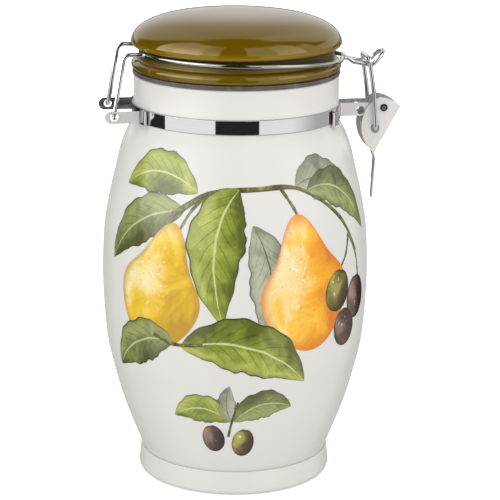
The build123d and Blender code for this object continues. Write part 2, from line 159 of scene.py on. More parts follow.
# Bail
WIRE_DIAMETER = 2.0
WIRE_END_SHARE = 0.72
WIRE_END_STEP = 0.25
WIRE_LEAST_STEP = 0.02
EYE_BEND = 1.5
RING_RADIUS = 45.8
RING_SHIFT = 1.15
RING_HEIGHT = GROOVE_HIGH - 1.75
RING_FALL = 0.65
RING_BOW_RADIUS = 345.0
RING_BEND = 3.0
LEG_END_SIDE = 18.5
LEG_SIDE = 15.0
LEG_TOP_REACH = 51.35
LEG_TOP_BEND = 3.2
HOOK_SIDE = 4.9
HOOK_RING_BEND = 2.0
HOOK_CREST_RUN = 1.3
HOOK_BENDS = (2.0, 2.5, 1.7)
HOOK_LOW_HEIGHT = LID_BASE + 0.85
HOOK_DROP_REACH = DOME_RADIUS + 4.8
HOOK_DROP_HEIGHT = HOOK_LOW_HEIGHT + 1.75
HOOK_TIP_RUN = 5.7
HOOK_TIP_RISE = 6.0

# Lever and link
PIVOT_REACH, PIVOT_HEIGHT = joint_place("lever_pivot")
LINK_HOLE_REACH, LINK_HOLE_HEIGHT = joint_place("link_swing")
LINK_END_SIDE = 5.5
LINK_SIDE = 7.85
LINK_BOW = 0.7
LINK_BOW_HEIGHT = PIVOT_HEIGHT + 7.1
LINK_BAR_REACH = PIVOT_REACH - 7.6
LINK_BAR_HEIGHT = HOOK_LOW_HEIGHT + 3.85
LINK_BENDS = (EYE_BEND, 20.0, 2.0)
HOOK_LOW_REACH = LINK_BAR_REACH + 2.1

# Marks of wear, the painted light in the rivet's shaded bore and the painted shade on the bail's ring, as the
# radii from which and to which they grow
WORN_RING = (2.1, 1.85)
RIVET_PAINTED_LIGHT = (0.9775, 0.7225)
PAINTED_RING_SHADE = (RING_RADIUS + 3.0, RING_RADIUS + 2.4)

# Plates stand clear of the neck from here
EAR_START, EAR_FULL = 42.5, 43.0

# Print
PRINT_ROOM = 0.15
FILM_LIFT = 0.04
FILM_LAYER = 0.021
FILM_THICKNESS = 0.25


# Working in edit mode


def start_fresh():
    """Nothing is selected, and no object is being edited."""
    if bpy.context.object and bpy.context.object.mode != "OBJECT":
        bpy.ops.object.mode_set(mode="OBJECT")
    bpy.ops.object.select_all(action="DESELECT")


def pick(obj):
    start_fresh()
    obj.select_set(True)
    bpy.context.view_layer.objects.active = obj


def bake_place(obj):
    pick(obj)
    bpy.ops.object.transform_apply(location=True, rotation=True, scale=True)


def apply_modifiers(obj):
    pick(obj)
    for modifier in list(obj.modifiers):
        bpy.ops.object.modifier_apply(modifier=modifier.name)


def smooth(obj, angle):
    pick(obj)
    bpy.ops.object.shade_smooth_by_angle(angle=math.radians(angle))


def tidy_mesh(obj, weld=None):
    """Merges what lies closer than a distance in millimetres, turns all faces outwards and smooths them."""
    pick(obj)
    bpy.ops.object.mode_set(mode="EDIT")
    bpy.ops.mesh.select_all(action="SELECT")
    if weld:
        bpy.ops.mesh.remove_doubles(threshold=weld * MM)
    bpy.ops.mesh.normals_make_consistent(inside=False)
    bpy.ops.object.mode_set(mode="OBJECT")
    smooth(obj, 50)
    return obj


def finish_piece(obj, body, slot, *nodes):
    """The piece rides on its body and stands for its nodes, which it hides. The slot is not used."""
    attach(obj, body)
    if nodes:
        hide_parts(*nodes)


# Lines in millimetres


def rounded(corners, radii, steps):
    """A line through corners, each inner corner rounded with its own radius. Works in 2-D and 3-D."""
    points = [Vector(c) for c in corners]
    line = [points[0]]
    for before, corner, after, radius in zip(points[:-2], points[1:-1], points[2:], radii):
        if radius == 0:
            line.append(corner)
            continue
        to_before = (before - corner).normalized()
        to_after = (after - corner).normalized()
        half = to_before.angle(to_after) / 2
        middle = (to_before + to_after).normalized()
        centre = corner + middle * (radius / math.sin(half))
        first = corner + to_before * (radius / math.tan(half)) - centre
        last = corner + to_after * (radius / math.tan(half)) - centre
        sweep = first.angle(last)
        for i in range(steps + 1):
            t = i / steps
            share_first = math.sin((1 - t) * sweep) / math.sin(sweep)
            share_last = math.sin(t * sweep) / math.sin(sweep)
            line.append(centre + first * share_first + last * share_last)
    line.append(points[-1])
    return line


def arc_through(a, b, c, steps):
    """Points of the circle through three points, from a to c by way of b. Works in 2-D and 3-D."""
    flat = len(a) == 2
    a, b, c = Vector(a).to_3d(), Vector(b).to_3d(), Vector(c).to_3d()
    ab, ac = b - a, c - a
    normal = ab.cross(ac)
    centre = a + (normal.cross(ab) * ac.length_squared + ac.cross(normal) * ab.length_squared) / (
        2 * normal.length_squared
    )
    axis = normal.normalized()
    start = a - centre
    side = axis.cross(start)
    last = c - centre
    turn = math.atan2(last.dot(side), last.dot(start)) % (2 * math.pi)
    angles = [turn * i / steps for i in range(steps + 1)]
    line = [centre + start * math.cos(angle) + side * math.sin(angle) for angle in angles]
    return [point.xy for point in line] if flat else line


def smooth_through(places, first_slope, last_slope, steps):
    """A smooth line through places, with the slopes of its two ends."""
    points = [Vector(p) for p in places]
    slopes = [(after - before) / 2 for before, after in zip(points[:-2], points[2:])]
    first = Vector(first_slope).normalized() * (points[1] - points[0]).length
    last = Vector(last_slope).normalized() * (points[-1] - points[-2]).length
    slopes = [first, *slopes, last]
    line = [points[0]]
    for i in range(len(points) - 1):
        for k in range(1, steps + 1):
            t = k / steps
            h1, h2 = 2 * t**3 - 3 * t**2 + 1, t**3 - 2 * t**2 + t
            h3, h4 = -2 * t**3 + 3 * t**2, t**3 - t**2
            line.append(points[i] * h1 + slopes[i] * h2 + points[i + 1] * h3 + slopes[i + 1] * h4)
    return line


def dome_line(radius, crown, centre, lowest, steps):
    """A squared-off dome from its edge, at a height over its centre, up to just before its top."""
    power = 2 / DOME_FULLNESS
    start = math.asin((lowest / crown) ** (1 / power))
    angles = [start + (math.pi / 2 - start) * i / steps for i in range(steps)]
    return [Vector((radius * math.cos(a) ** power, centre + crown * math.sin(a) ** power)) for a in angles]


def turned(name, outline, steps, closed):
    """Rings of an outline about Z, each extruded from the one before and drawn in or out.
    A closed outline comes back to its first ring, and an open one ends in two filled discs."""
    start_fresh()
    here = outline[0]
    bpy.ops.mesh.primitive_circle_add(vertices=steps, radius=here[0] * MM, location=(0, 0, here[1] * MM))
    obj = bpy.context.object
    obj.name = name
    bake_place(obj)
    bpy.ops.object.mode_set(mode="EDIT")
    bpy.ops.mesh.select_all(action="SELECT")
    if not closed:
        fill_disc()
        select_ring(obj, here[0])
    for there in outline[1:]:
        rise = (0, 0, (there[1] - here[1]) * MM)
        bpy.ops.mesh.extrude_edges_move(TRANSFORM_OT_translate={"value": rise})
        size = there[0] / here[0]
        bpy.ops.transform.resize(value=(size, size, 1), center_override=(0, 0, there[1] * MM))
        here = there
    if not closed:
        fill_disc()
    return tidy_mesh(obj, weld=0.004)


def fill_disc():
    """The selected ring is extruded and drawn together in its middle."""
    bpy.ops.mesh.extrude_edges_move()
    bpy.ops.mesh.merge(type="CENTER")


def select_ring(obj, radius):
    """Of a filled disc, only its outer ring stays selected."""
    bpy.ops.object.mode_set(mode="OBJECT")
    ring = {v.index for v in obj.data.vertices if v.co.xy.length > radius * MM / 2}
    for v in obj.data.vertices:
        v.select = v.index in ring
    for e in obj.data.edges:
        e.select = all(i in ring for i in e.vertices)
    for f in obj.data.polygons:
        f.select = False
    bpy.ops.object.mode_set(mode="EDIT")
    bpy.ops.mesh.select_mode(type="EDGE")


# Jar


def belly_places(shares, inset):
    """Places on the belly, drawn in from its outside."""
    rise = SHOULDER_HEIGHT - FOOT_HEIGHT
    return [(out * BODY_RADIUS - inset, FOOT_HEIGHT + up * rise) for up, out in shares]


def belly_line():
    """The belly from the crease over the foot up to the shoulder's corner, just inside the solid's."""
    corner = (SHOULDER_CORNER[0] - PRINT_ROOM / 2, SHOULDER_CORNER[1])
    return smooth_through([CREASE, *belly_places(BELLY, PRINT_ROOM), corner], CREASE_SLOPE, SHOULDER_SLOPE, 8)


def flat_middle(height):
    """The last rings of a flat disc before its middle is filled."""
    return [Vector((radius, height)) for radius in MIDDLE_RADII]


def jar_outside():
    """From the underside's edge up to the shoulder, over the rim and a little down into the neck."""
    side = FOOT_RADIUS + FOOT_BOW
    foot_top = Vector((side - FOOT_TAPER, FOOT_HEIGHT))
    foot = rounded([(RECESS_RADIUS, 0.0), (side, 0.0), foot_top], [FOOT_ROUND], 8)
    belly = belly_line()
    shoulder = arc_through(belly[-1], SHOULDER_MIDDLE, (NECK_RADIUS, SHOULDER_HEIGHT), 5)
    rim = rounded(
        [shoulder[-1], (NECK_RADIUS, RIM_HEIGHT), (MOUTH_RADIUS, RIM_HEIGHT), INNER_NECK_FOOT],
        [RIM_ROUND, RIM_ROUND],
        6,
    )
    return foot + [foot_top - Vector(FOOT_TOP_EDGE)] + belly + shoulder[1:] + rim[1:]


def jar_inside():
    """From the neck's foot down to the floor's middle."""
    places = [INNER_NECK_FOOT, *belly_places(reversed(INNER_BELLY), WALL), HEEL]
    wall = smooth_through(places, INNER_NECK_SLOPE, HEEL_SLOPE, 6)
    bend = smooth_through([HEEL, HEEL_BEND, FLOOR_EDGE], HEEL_SLOPE, FLOOR_SLOPE, 5)
    return wall + bend[1:] + flat_middle(FLOOR_EDGE[1])


def jar_underside():
    """From the foot ring's inner edge to the recess's middle."""
    corners = [(RECESS_RADIUS, 0.0), (RECESS_RADIUS, RECESS_DEPTH), (MIDDLE_RADII[0], RECESS_DEPTH)]
    return rounded(corners, [RECESS_ROUND], 5)[:-1] + flat_middle(RECESS_DEPTH)


def make_jar():
    outline = jar_underside()[::-1] + jar_outside()[1:] + jar_inside()[1:]
    return turned("glazed_jar", outline, 160, closed=False)


# Seal and lid


def make_seal():
    """A flat ring with rounded edges and a fine parting line round its outside."""
    low, high = RIM_HEIGHT + HAIR, LID_BASE - HAIR
    middle = (low + high) / 2
    outline = rounded(
        [
            (SEAL_START, low),
            (SEAL_RADIUS, low),
            (SEAL_RADIUS, middle - PARTING_HALF_WIDTH),
            (SEAL_RADIUS - PARTING_DEPTH, middle),
            (SEAL_RADIUS, middle + PARTING_HALF_WIDTH),
            (SEAL_RADIUS, high),
            (SEAL_BORE, high),
            (SEAL_BORE, low),
            (SEAL_START, low),
        ],
        [SEAL_ROUND, 0.0, 0.0, 0.0, SEAL_ROUND, SEAL_ROUND, SEAL_ROUND],
        4,
    )
    return turned("rubber_seal", outline, 144, closed=True)


def make_lid():
    """A hollow underside with a plug, the flange, the wire's groove and a squared-off dome."""
    centre = GROOVE_HIGH - DOME_CENTRE_DROP
    hollow_top = DOME_CROWN - LID_WALL
    crown = dome_line(DOME_RADIUS, DOME_CROWN, centre, DOME_LIP + DOME_CENTRE_DROP, 22)
    hollow = dome_line(HOLLOW_RADIUS, hollow_top, centre, 0.0, 12)
    plug_corners = [(HOLLOW_RADIUS, PLUG_LOW), (PLUG_END_RADIUS, PLUG_LOW), (PLUG_RADIUS, LID_BASE)]
    plug = rounded(plug_corners, [PLUG_ROUND], 5)
    lip = (GROOVE_RADIUS + GROOVE_ROUND, GROOVE_HIGH)
    flange = rounded(
        [
            (PLUG_RADIUS, LID_BASE),
            (FLANGE_RADIUS, LID_BASE),
            (FLANGE_RADIUS, GROOVE_LOW),
            (GROOVE_RADIUS, GROOVE_LOW),
            (GROOVE_RADIUS, GROOVE_HIGH),
            lip,
        ],
        [FLANGE_ROUND, FLANGE_ROUND, GROOVE_ROUND, GROOVE_ROUND - HAIR],
        6,
    )
    under = arc_through(lip, (GROOVE_RADIUS + DOME_UNDER[0], GROOVE_HIGH + DOME_UNDER[1]), crown[0], 5)
    outline = [
        Vector((MIDDLE_RADII[1], centre + hollow_top)),
        *reversed(hollow),
        Vector((HOLLOW_RADIUS, LID_BASE)),
        *plug,
        *flange[1:-1],
        *under,
        *crown[1:],
        Vector((MIDDLE_RADII[1], centre + DOME_CROWN)),
    ]
    return turned("glazed_lid", outline, 160, closed=False)


# Wires


def wire(name, line):
    """A round wire along a line, its two ends a little rounded."""
    start_fresh()
    curve = bpy.data.curves.new(name, "CURVE")
    curve.dimensions = "3D"
    curve.twist_mode = "MINIMUM"
    spline = curve.splines.new("POLY")
    points = tidy_line(line)
    spline.points.add(len(points) - 1)
    for target, point in zip(spline.points, points):
        target.co = (*(point * MM), 1)
    spline.points[0].radius = spline.points[-1].radius = WIRE_END_SHARE
    curve.bevel_depth = WIRE_DIAMETER / 2 * MM
    curve.bevel_resolution = 4
    curve.use_fill_caps = True
    obj = bpy.data.objects.new(name, curve)
    bpy.context.scene.collection.objects.link(obj)
    pick(obj)
    bpy.ops.object.convert(target="MESH")
    return tidy_mesh(bpy.context.object, weld=0.002)


def tidy_line(line):
    """The line without doubled points, and with a short first and last step for the rounded ends."""
    points = [Vector(line[0])]
    for p in line[1:]:
        if (Vector(p) - points[-1]).length > WIRE_LEAST_STEP:
            points.append(Vector(p))
    first = points[0] + (points[1] - points[0]).normalized() * WIRE_END_STEP
    last = points[-1] + (points[-2] - points[-1]).normalized() * WIRE_END_STEP
    return [points[0], first, *points[1:-1], last, points[-1]]


def other_side(line):
    return [Vector((x, -y, z)) for x, y, z in reversed(line)]


def ring_place(along, side):
    """A point of the bail's ring, from its centre towards the latch, where it bows down, and sideways."""
    fall = along * RING_FALL / RING_RADIUS + max(along, 0) ** 2 / (2 * RING_BOW_RADIUS)
    return Vector((RING_SHIFT + along, side, RING_HEIGHT - fall))


def ring_turn(side, bend, way):
    """The bend between the ring and a straight at one side, way 1 at the latch and -1 at the hinge:
    its start on the ring, its middle and its end on the straight, in plan from the ring's centre."""
    centre = Vector((way * math.sqrt((RING_RADIUS + bend) ** 2 - (side + bend) ** 2), side + bend))
    on_ring = centre * (RING_RADIUS / (RING_RADIUS + bend))
    straight = Vector((centre.x, side))
    middle = centre + ((on_ring + straight) / 2 - centre).normalized() * bend
    return on_ring, middle, straight


def bail_line():
    """Eye, leg, ring and hook on the +Y side, and the same back on the -Y side."""
    hinge_reach, hinge_height = joint_place("lid_hinge")
    hinge_bend = ring_turn(LEG_SIDE, RING_BEND, -1)
    latch_bend = ring_turn(HOOK_SIDE, HOOK_RING_BEND, 1)
    hinge_turn = arc_through(*[ring_place(*place) for place in reversed(hinge_bend)], 6)
    latch_turn = arc_through(*[ring_place(*place) for place in latch_bend], 6)
    leg = rounded(
        [
            (hinge_reach, LEG_END_SIDE, hinge_height),
            (hinge_reach, LEG_SIDE, hinge_height),
            ring_place(-LEG_TOP_REACH - RING_SHIFT, LEG_SIDE),
            hinge_turn[0],
        ],
        [EYE_BEND, LEG_TOP_BEND],
        8,
    )
    first, last = (math.atan2(y, x) for x, y in (hinge_bend[0], latch_bend[0]))
    angles = [first + (last - first) * i / 64 for i in range(65)]
    ring = [ring_place(RING_RADIUS * math.cos(a), RING_RADIUS * math.sin(a)) for a in angles]
    low = Vector((HOOK_LOW_REACH, HOOK_SIDE, HOOK_LOW_HEIGHT))
    tip = Vector((HOOK_LOW_REACH + HOOK_TIP_RUN, 0, HOOK_LOW_HEIGHT + HOOK_TIP_RISE))
    share = 1 - HOOK_SIDE / math.hypot(HOOK_TIP_RUN, HOOK_TIP_RISE)
    loop_start = low + Vector((HOOK_TIP_RUN, 0, HOOK_TIP_RISE)) * share
    hook = rounded(
        [
            latch_turn[-1],
            ring_place(latch_bend[-1].x + HOOK_CREST_RUN, HOOK_SIDE),
            (HOOK_DROP_REACH, HOOK_SIDE, HOOK_DROP_HEIGHT),
            low,
            loop_start,
        ],
        HOOK_BENDS,
        6,
    )
    loop = arc_through(loop_start, tip, other_side([loop_start])[0], 14)
    half = leg + hinge_turn[1:] + ring[1:] + latch_turn[1:] + hook[1:-1]
    return half + loop + other_side(half)


def link_line():
    """The sprung loop from one hole of the lever over the hook to the other hole."""
    share = (LINK_BOW_HEIGHT - LINK_HOLE_HEIGHT) / (LINK_BAR_HEIGHT - LINK_HOLE_HEIGHT)
    bow_reach = LINK_HOLE_REACH + (LINK_BAR_REACH - LINK_HOLE_REACH) * share + LINK_BOW
    side = [
        (LINK_HOLE_REACH, LINK_END_SIDE, LINK_HOLE_HEIGHT),
        (LINK_HOLE_REACH, LINK_SIDE, LINK_HOLE_HEIGHT),
        (bow_reach, LINK_SIDE, LINK_BOW_HEIGHT),
        (LINK_BAR_REACH, LINK_SIDE, LINK_BAR_HEIGHT),
    ]
    return rounded(side + other_side(side), [*LINK_BENDS, *reversed(LINK_BENDS)], 8)


# Pressed sheet and rivet, from the solids' own shapes


def pressed(name, node, edge):
    """A copy of a sheet part with its triangles joined and its cut edges softly broken."""
    start_fresh()
    obj = frame["nodes"][node].copy()
    obj.data = obj.data.copy()
    obj.name = name
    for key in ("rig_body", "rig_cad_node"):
        del obj[key]
    obj.parent = None
    bpy.context.scene.collection.objects.link(obj)
    pick(obj)
    bpy.ops.object.mode_set(mode="EDIT")
    bpy.ops.mesh.select_all(action="SELECT")
    bpy.ops.mesh.remove_doubles(threshold=0.002 * MM)
    bpy.ops.mesh.dissolve_limited(angle_limit=math.radians(0.6))
    bpy.ops.object.mode_set(mode="OBJECT")
    bevel = obj.modifiers.new("edge", "BEVEL")
    bevel.width = edge * MM
    bevel.segments = 2
    bevel.limit_method = "ANGLE"
    bevel.angle_limit = math.radians(50)
    bevel.use_clamp_overlap = True
    apply_modifiers(obj)
    obj.data.materials.clear()
    smooth(obj, 35)
    flat = obj.modifiers.new("flat", "WEIGHTED_NORMAL")
    flat.keep_sharp = True
    apply_modifiers(obj)
    return obj


# Node helpers


def make_material(name):
    """A new material, its tree of nodes and its surface shader."""
    material = bpy.data.materials.new(name)
    material.use_nodes = True
    return material, Tree(material.node_tree), material.node_tree.nodes["Principled BSDF"]


def dress(obj, material):
    obj.data.materials.clear()
    obj.data.materials.append(material)


class Tree:
    """Short words for adding and joining nodes in one tree."""

    def __init__(self, tree):
        self.nodes, self.links = tree.nodes, tree.links

    def put(self, socket, value):
        if isinstance(value, bpy.types.NodeSocket):
            self.links.new(value, socket)
        elif value is not None:
            socket.default_value = value

    def put_all(self, node, values):
        for key, value in values.items():
            self.put(node.inputs[key], value)

    def math(self, operation, a, b=None, c=None):
        node = self.nodes.new("ShaderNodeMath")
        node.operation = operation
        for socket, value in zip(node.inputs, (a, b, c)):
            self.put(socket, value)
        return node.outputs[0]

    def times(self, first, *more):
        return reduce(lambda a, b: self.math("MULTIPLY", a, b), more, first)

    def largest(self, first, *more):
        return reduce(lambda a, b: self.math("MAXIMUM", a, b), more, first)

    def vector_math(self, operation, a, b=None):
        node = self.nodes.new("ShaderNodeVectorMath")
        node.operation = operation
        for socket, value in zip(node.inputs, (a, b)):
            self.put(socket, value)
        return node.outputs["Value" if operation == "LENGTH" else "Vector"]

    def length(self, x, y):
        return self.vector_math("LENGTH", self.join(x, y))

    def split(self, vector):
        node = self.nodes.new("ShaderNodeSeparateXYZ")
        self.put(node.inputs[0], vector)
        return node.outputs

    def join(self, x, y):
        node = self.nodes.new("ShaderNodeCombineXYZ")
        for socket, value in zip(node.inputs, (x, y)):
            self.put(socket, value)
        return node.outputs[0]

    def step(self, value, low, high, out_low=0.0, out_high=1.0):
        """Runs smoothly from out_low to out_high as the value goes from low to high."""
        node = self.nodes.new("ShaderNodeMapRange")
        node.interpolation_type = "SMOOTHSTEP"
        self.put_all(node, {"Value": value, "From Min": low, "From Max": high})
        self.put_all(node, {"To Min": out_low, "To Max": out_high})
        return node.outputs[0]

    def fade(self, place, low, high, out_low=0.0, out_high=1.0):
        """The same between two places given in millimetres."""
        return self.step(place, low * MM, high * MM, out_low, out_high)

    def noise(self, vector, scale, detail=3.0, roughness=0.5, stretch=None, distortion=0.0):
        if stretch:
            node = self.nodes.new("ShaderNodeMapping")
            self.put(node.inputs["Vector"], vector)
            node.inputs["Scale"].default_value = stretch
            vector = node.outputs[0]
        node = self.nodes.new("ShaderNodeTexNoise")
        self.put_all(node, {"Vector": vector, "Scale": scale, "Detail": detail})
        self.put_all(node, {"Roughness": roughness, "Distortion": distortion})
        return node.outputs["Fac"]

    def mix(self, share, first, second):
        node = self.nodes.new("ShaderNodeMix")
        node.data_type = "RGBA"
        for key, given in (("Factor_Float", share), ("A_Color", first), ("B_Color", second)):
            self.put(next(s for s in node.inputs if s.identifier == key), given)
        return next(s for s in node.outputs if s.identifier == "Result_Color")

    def ramp(self, value, stops):
        node = self.nodes.new("ShaderNodeValToRGB")
        self.put(node.inputs[0], value)
        elements = node.color_ramp.elements
        while len(elements) < len(stops):
            elements.new(0.5)
        for element, (place, colour) in zip(elements, stops):
            element.position = place
            element.color = (*colour, 1)
        return node.outputs[0]

    def bump(self, height, strength, distance):
        node = self.nodes.new("ShaderNodeBump")
        self.put_all(node, {"Height": height, "Strength": strength, "Distance": distance})
        return node.outputs[0]

    def place(self, kind="Object"):
        found = self.nodes.get("Where") or self.nodes.new("ShaderNodeTexCoord")
        found.name = "Where"
        return found.outputs[kind]


def new_group(name, inputs, outputs):
    """An empty shared effect with its named sockets; returns it, its tree and its two ends."""
    group = bpy.data.node_groups.new(name, "ShaderNodeTree")
    for key, kind, default in inputs:
        socket = group.interface.new_socket(key, in_out="INPUT", socket_type=kind)
        if default is not None:
            socket.default_value = default
    for key, kind in outputs:
        group.interface.new_socket(key, in_out="OUTPUT", socket_type=kind)
    entry = group.nodes.new("NodeGroupInput")
    exit_ = group.nodes.new("NodeGroupOutput")
    return group, Tree(group), entry.outputs, exit_.inputs


def use_group(tree, group, **values):
    node = tree.nodes.new("ShaderNodeGroup")
    node.node_tree = group
    tree.put_all(node, values)
    return node.outputs


FLOAT, VECTOR = "NodeSocketFloat", "NodeSocketVector"


def glaze_group():
    """Fired glaze: a slow unevenness in tone, fine pinholes, and a soft waviness of the surface."""
    group, t, given, out = new_group(
        "fired_glaze",
        [("Vector", VECTOR, None), ("Tone", FLOAT, 0.5)],
        [("Tone", FLOAT), ("Pinholes", FLOAT), ("Height", FLOAT), ("Haze", FLOAT)],
    )
    slow = t.noise(given["Vector"], 14.0, 2.0, 0.4)
    fine = t.noise(given["Vector"], 90.0, 2.0, 0.5)
    specks = t.noise(given["Vector"], 900.0, 1.0, 0.5)
    haze = t.noise(given["Vector"], 40.0, 3.0, 0.6)
    t.put(out["Tone"], t.times(t.math("SUBTRACT", slow, 0.5), given["Tone"]))
    t.put(out["Pinholes"], t.step(specks, 0.76, 0.80))
    t.put(out["Height"], t.math("MULTIPLY_ADD", fine, 0.25, slow))
    t.put(out["Haze"], t.step(haze, 0.35, 0.75))
    return group


def steel_group():
    """Drawn or rolled steel: fine lines along the metal, faint scratches and handling marks."""
    group, t, given, out = new_group(
        "worked_steel",
        [("Vector", VECTOR, None), ("Lines", FLOAT, 1.0)],
        [("Lines", FLOAT), ("Marks", FLOAT), ("Height", FLOAT)],
    )
    lines = t.noise(given["Vector"], 120.0, 3.0, 0.6, stretch=(0.12, 0.12, 14.0))
    marks = t.noise(given["Vector"], 160.0, 3.0, 0.65)
    scratches = t.noise(given["Vector"], 260.0, 1.0, 0.4, stretch=(0.3, 0.3, 6.0), distortion=1.5)
    t.put(out["Lines"], t.times(lines, given["Lines"]))
    t.put(out["Marks"], t.step(marks, 0.4, 0.8))
    t.put(out["Height"], t.math("MULTIPLY_ADD", t.step(scratches, 0.68, 0.74), -0.6, lines))
    return group


GLAZE = glaze_group()
STEEL = steel_group()


def band_gap(t):
    """Painted shade: a grey line on the ware along the band's two edges, fading out above it, where the band
    shades the glaze.
    """
    low, high = (corner[2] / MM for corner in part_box("front_band"))
    x, y, z = t.split(t.place())
    line = t.fade(z, high + 0.55, high + 0.2)
    shade = t.fade(z, high + 2.0, high, 0.0, 0.13)
    outside = t.fade(t.length(x, y), NECK_RADIUS - 1.8, NECK_RADIUS - 0.8)
    return t.times(t.largest(line, shade), t.fade(z, low - 0.6, low - 0.2), outside)


def white_glaze():
    """White ware: cool grey-white, with painted shade along the neck band's edges, bare and rough where it
    stands.
    """
    material, t, shader = make_material("white_glaze")
    glaze = use_group(t, GLAZE, Vector=t.place(), Tone=0.05)
    z = t.split(t.place())[2]
    bare = t.fade(z, 0.2, 0.9, 1.0, 0.0)
    tone = t.math("ADD", 0.5, glaze["Tone"])
    body = t.mix(tone, (0.757, 0.747, 0.710, 1), (0.797, 0.787, 0.748, 1))
    body = t.mix(t.times(glaze["Pinholes"], 0.10), body, (0.45, 0.42, 0.38, 1))
    # painted shade: a dark grey line on the glaze along the band's edges
    body = t.mix(t.times(band_gap(t), 0.6), body, (0.10, 0.095, 0.09, 1))
    ware = t.mix(t.noise(t.place(), 600.0), (0.62, 0.57, 0.50, 1), (0.76, 0.72, 0.66, 1))
    gloss = t.math("MULTIPLY_ADD", glaze["Haze"], 0.06, 0.20)
    t.put(shader.inputs["Base Color"], t.mix(bare, body, ware))
    t.put(shader.inputs["Roughness"], t.largest(gloss, t.times(bare, 0.85)))
    t.put(shader.inputs["Normal"], t.bump(glaze["Height"], 0.12, 0.0004))
    shader.inputs["IOR"].default_value = 1.5
    shader.inputs["Specular IOR Level"].default_value = 0.3
    return material


def olive_glaze():
    """Coloured glaze: deep olive, paler where it runs thin over the edges, with a painted band of light round
    the dome's lower rim, matt in the groove, and painted shade in the groove's upper part."""
    material, t, shader = make_material("olive_glaze")
    glaze = use_group(t, GLAZE, Vector=t.place(), Tone=0.35)
    geometry = t.nodes.new("ShaderNodeNewGeometry")
    thin = t.step(geometry.outputs["Pointiness"], 0.505, 0.56)
    tone = t.math("ADD", 0.5, glaze["Tone"])
    x, y, z = t.split(t.place())
    reach = t.length(x, y)
    groove = t.times(
        t.fade(reach, GROOVE_RADIUS + 1.0, GROOVE_RADIUS + 0.3),
        t.fade(z, GROOVE_LOW - 0.4, GROOVE_LOW + 0.1),
        t.fade(z, GROOVE_HIGH + 0.7, GROOVE_HIGH - 0.1),
    )
    # painted shade: the groove's upper part is painted near-black where it lies in shade under the dome
    painted_groove_shade = t.times(groove, t.fade(z, GROOVE_LOW + 1.5, GROOVE_LOW + 2.7))
    # painted light: a paler band round the dome's lower rim stands in for light thrown back onto it
    rolled = t.times(
        t.fade(z, GROOVE_HIGH, GROOVE_HIGH + 0.8),
        t.fade(z, GROOVE_HIGH + 3.4, GROOVE_HIGH + 2.2),
        t.fade(reach, GROOVE_RADIUS + 1.1, GROOVE_RADIUS + 2.1),
    )
    body = t.mix(tone, (0.112, 0.066, 0.0006, 1), (0.146, 0.087, 0.0010, 1))
    body = t.mix(t.times(thin, 0.35), body, (0.30, 0.20, 0.012, 1))
    body = t.mix(t.times(glaze["Pinholes"], 0.25), body, (0.06, 0.035, 0.002, 1))
    # painted light round the dome's lower rim
    body = t.mix(t.times(rolled, 0.6), body, (0.27, 0.165, 0.003, 1))
    gloss = t.math("MULTIPLY_ADD", glaze["Haze"], 0.03, 0.035)
    # painted shade in the groove's upper part
    t.put(shader.inputs["Base Color"], t.mix(painted_groove_shade, body, (0.028, 0.017, 0.0003, 1)))
    t.put(shader.inputs["Roughness"], t.math("MULTIPLY_ADD", groove, 0.32, gloss))
    t.put(shader.inputs["Normal"], t.bump(glaze["Height"], 0.10, 0.0004))
    shader.inputs["IOR"].default_value = 1.75
    shader.inputs["Specular Tint"].default_value = (1.0, 0.83, 0.46, 1)
    return material


def seal_rubber():
    """Grey-brown rubber with a fine matt skin, dusted paler in places."""
    material, t, shader = make_material("seal_rubber")
    skin = t.noise(t.place(), 1800.0, 2.0, 0.6)
    patches = t.noise(t.place(), 120.0, 3.0, 0.6)
    body = t.mix(t.step(patches, 0.35, 0.7), (0.085, 0.072, 0.064, 1), (0.15, 0.13, 0.118, 1))
    t.put(shader.inputs["Base Color"], t.mix(t.step(skin, 0.62, 0.75, 0.0, 0.3), body, (0.3, 0.27, 0.25, 1)))
    t.put(shader.inputs["Roughness"], t.math("MULTIPLY_ADD", skin, 0.2, 0.42))
    t.put(shader.inputs["Normal"], t.bump(skin, 0.25, 0.0001))
    return material


def steel(name, dark, light, gloss, spread, relief, lines=1.0, rise=1.0, ring_shade=None):
    """Bright steel between two tones, with fine lines and marks in its gloss. A small rise draws the
    lines out upwards, as on an upright wire, and the ring round the lid may take a painted shade: a
    darker colour that holds down its reflections."""
    material, t, shader = make_material(name)
    where = t.vector_math("MULTIPLY", t.place(), (1.0, 1.0, rise))
    worked = use_group(t, STEEL, Vector=where, Lines=lines)
    body = t.mix(worked["Lines"], (*dark, 1), (*light, 1))
    if ring_shade:
        x, y, _ = t.split(t.place())
        # painted shade: the ring round the lid is painted darker than the legs, to hold down its reflections
        body = t.mix(t.fade(t.length(x, y), *PAINTED_RING_SHADE), body, (*ring_shade, 1))
    t.put(shader.inputs["Base Color"], body)
    t.put(shader.inputs["Roughness"], t.math("MULTIPLY_ADD", worked["Marks"], spread, gloss))
    t.put(shader.inputs["Normal"], t.bump(worked["Height"], relief, 0.00004))
    shader.inputs["Metallic"].default_value = 1.0
    return material


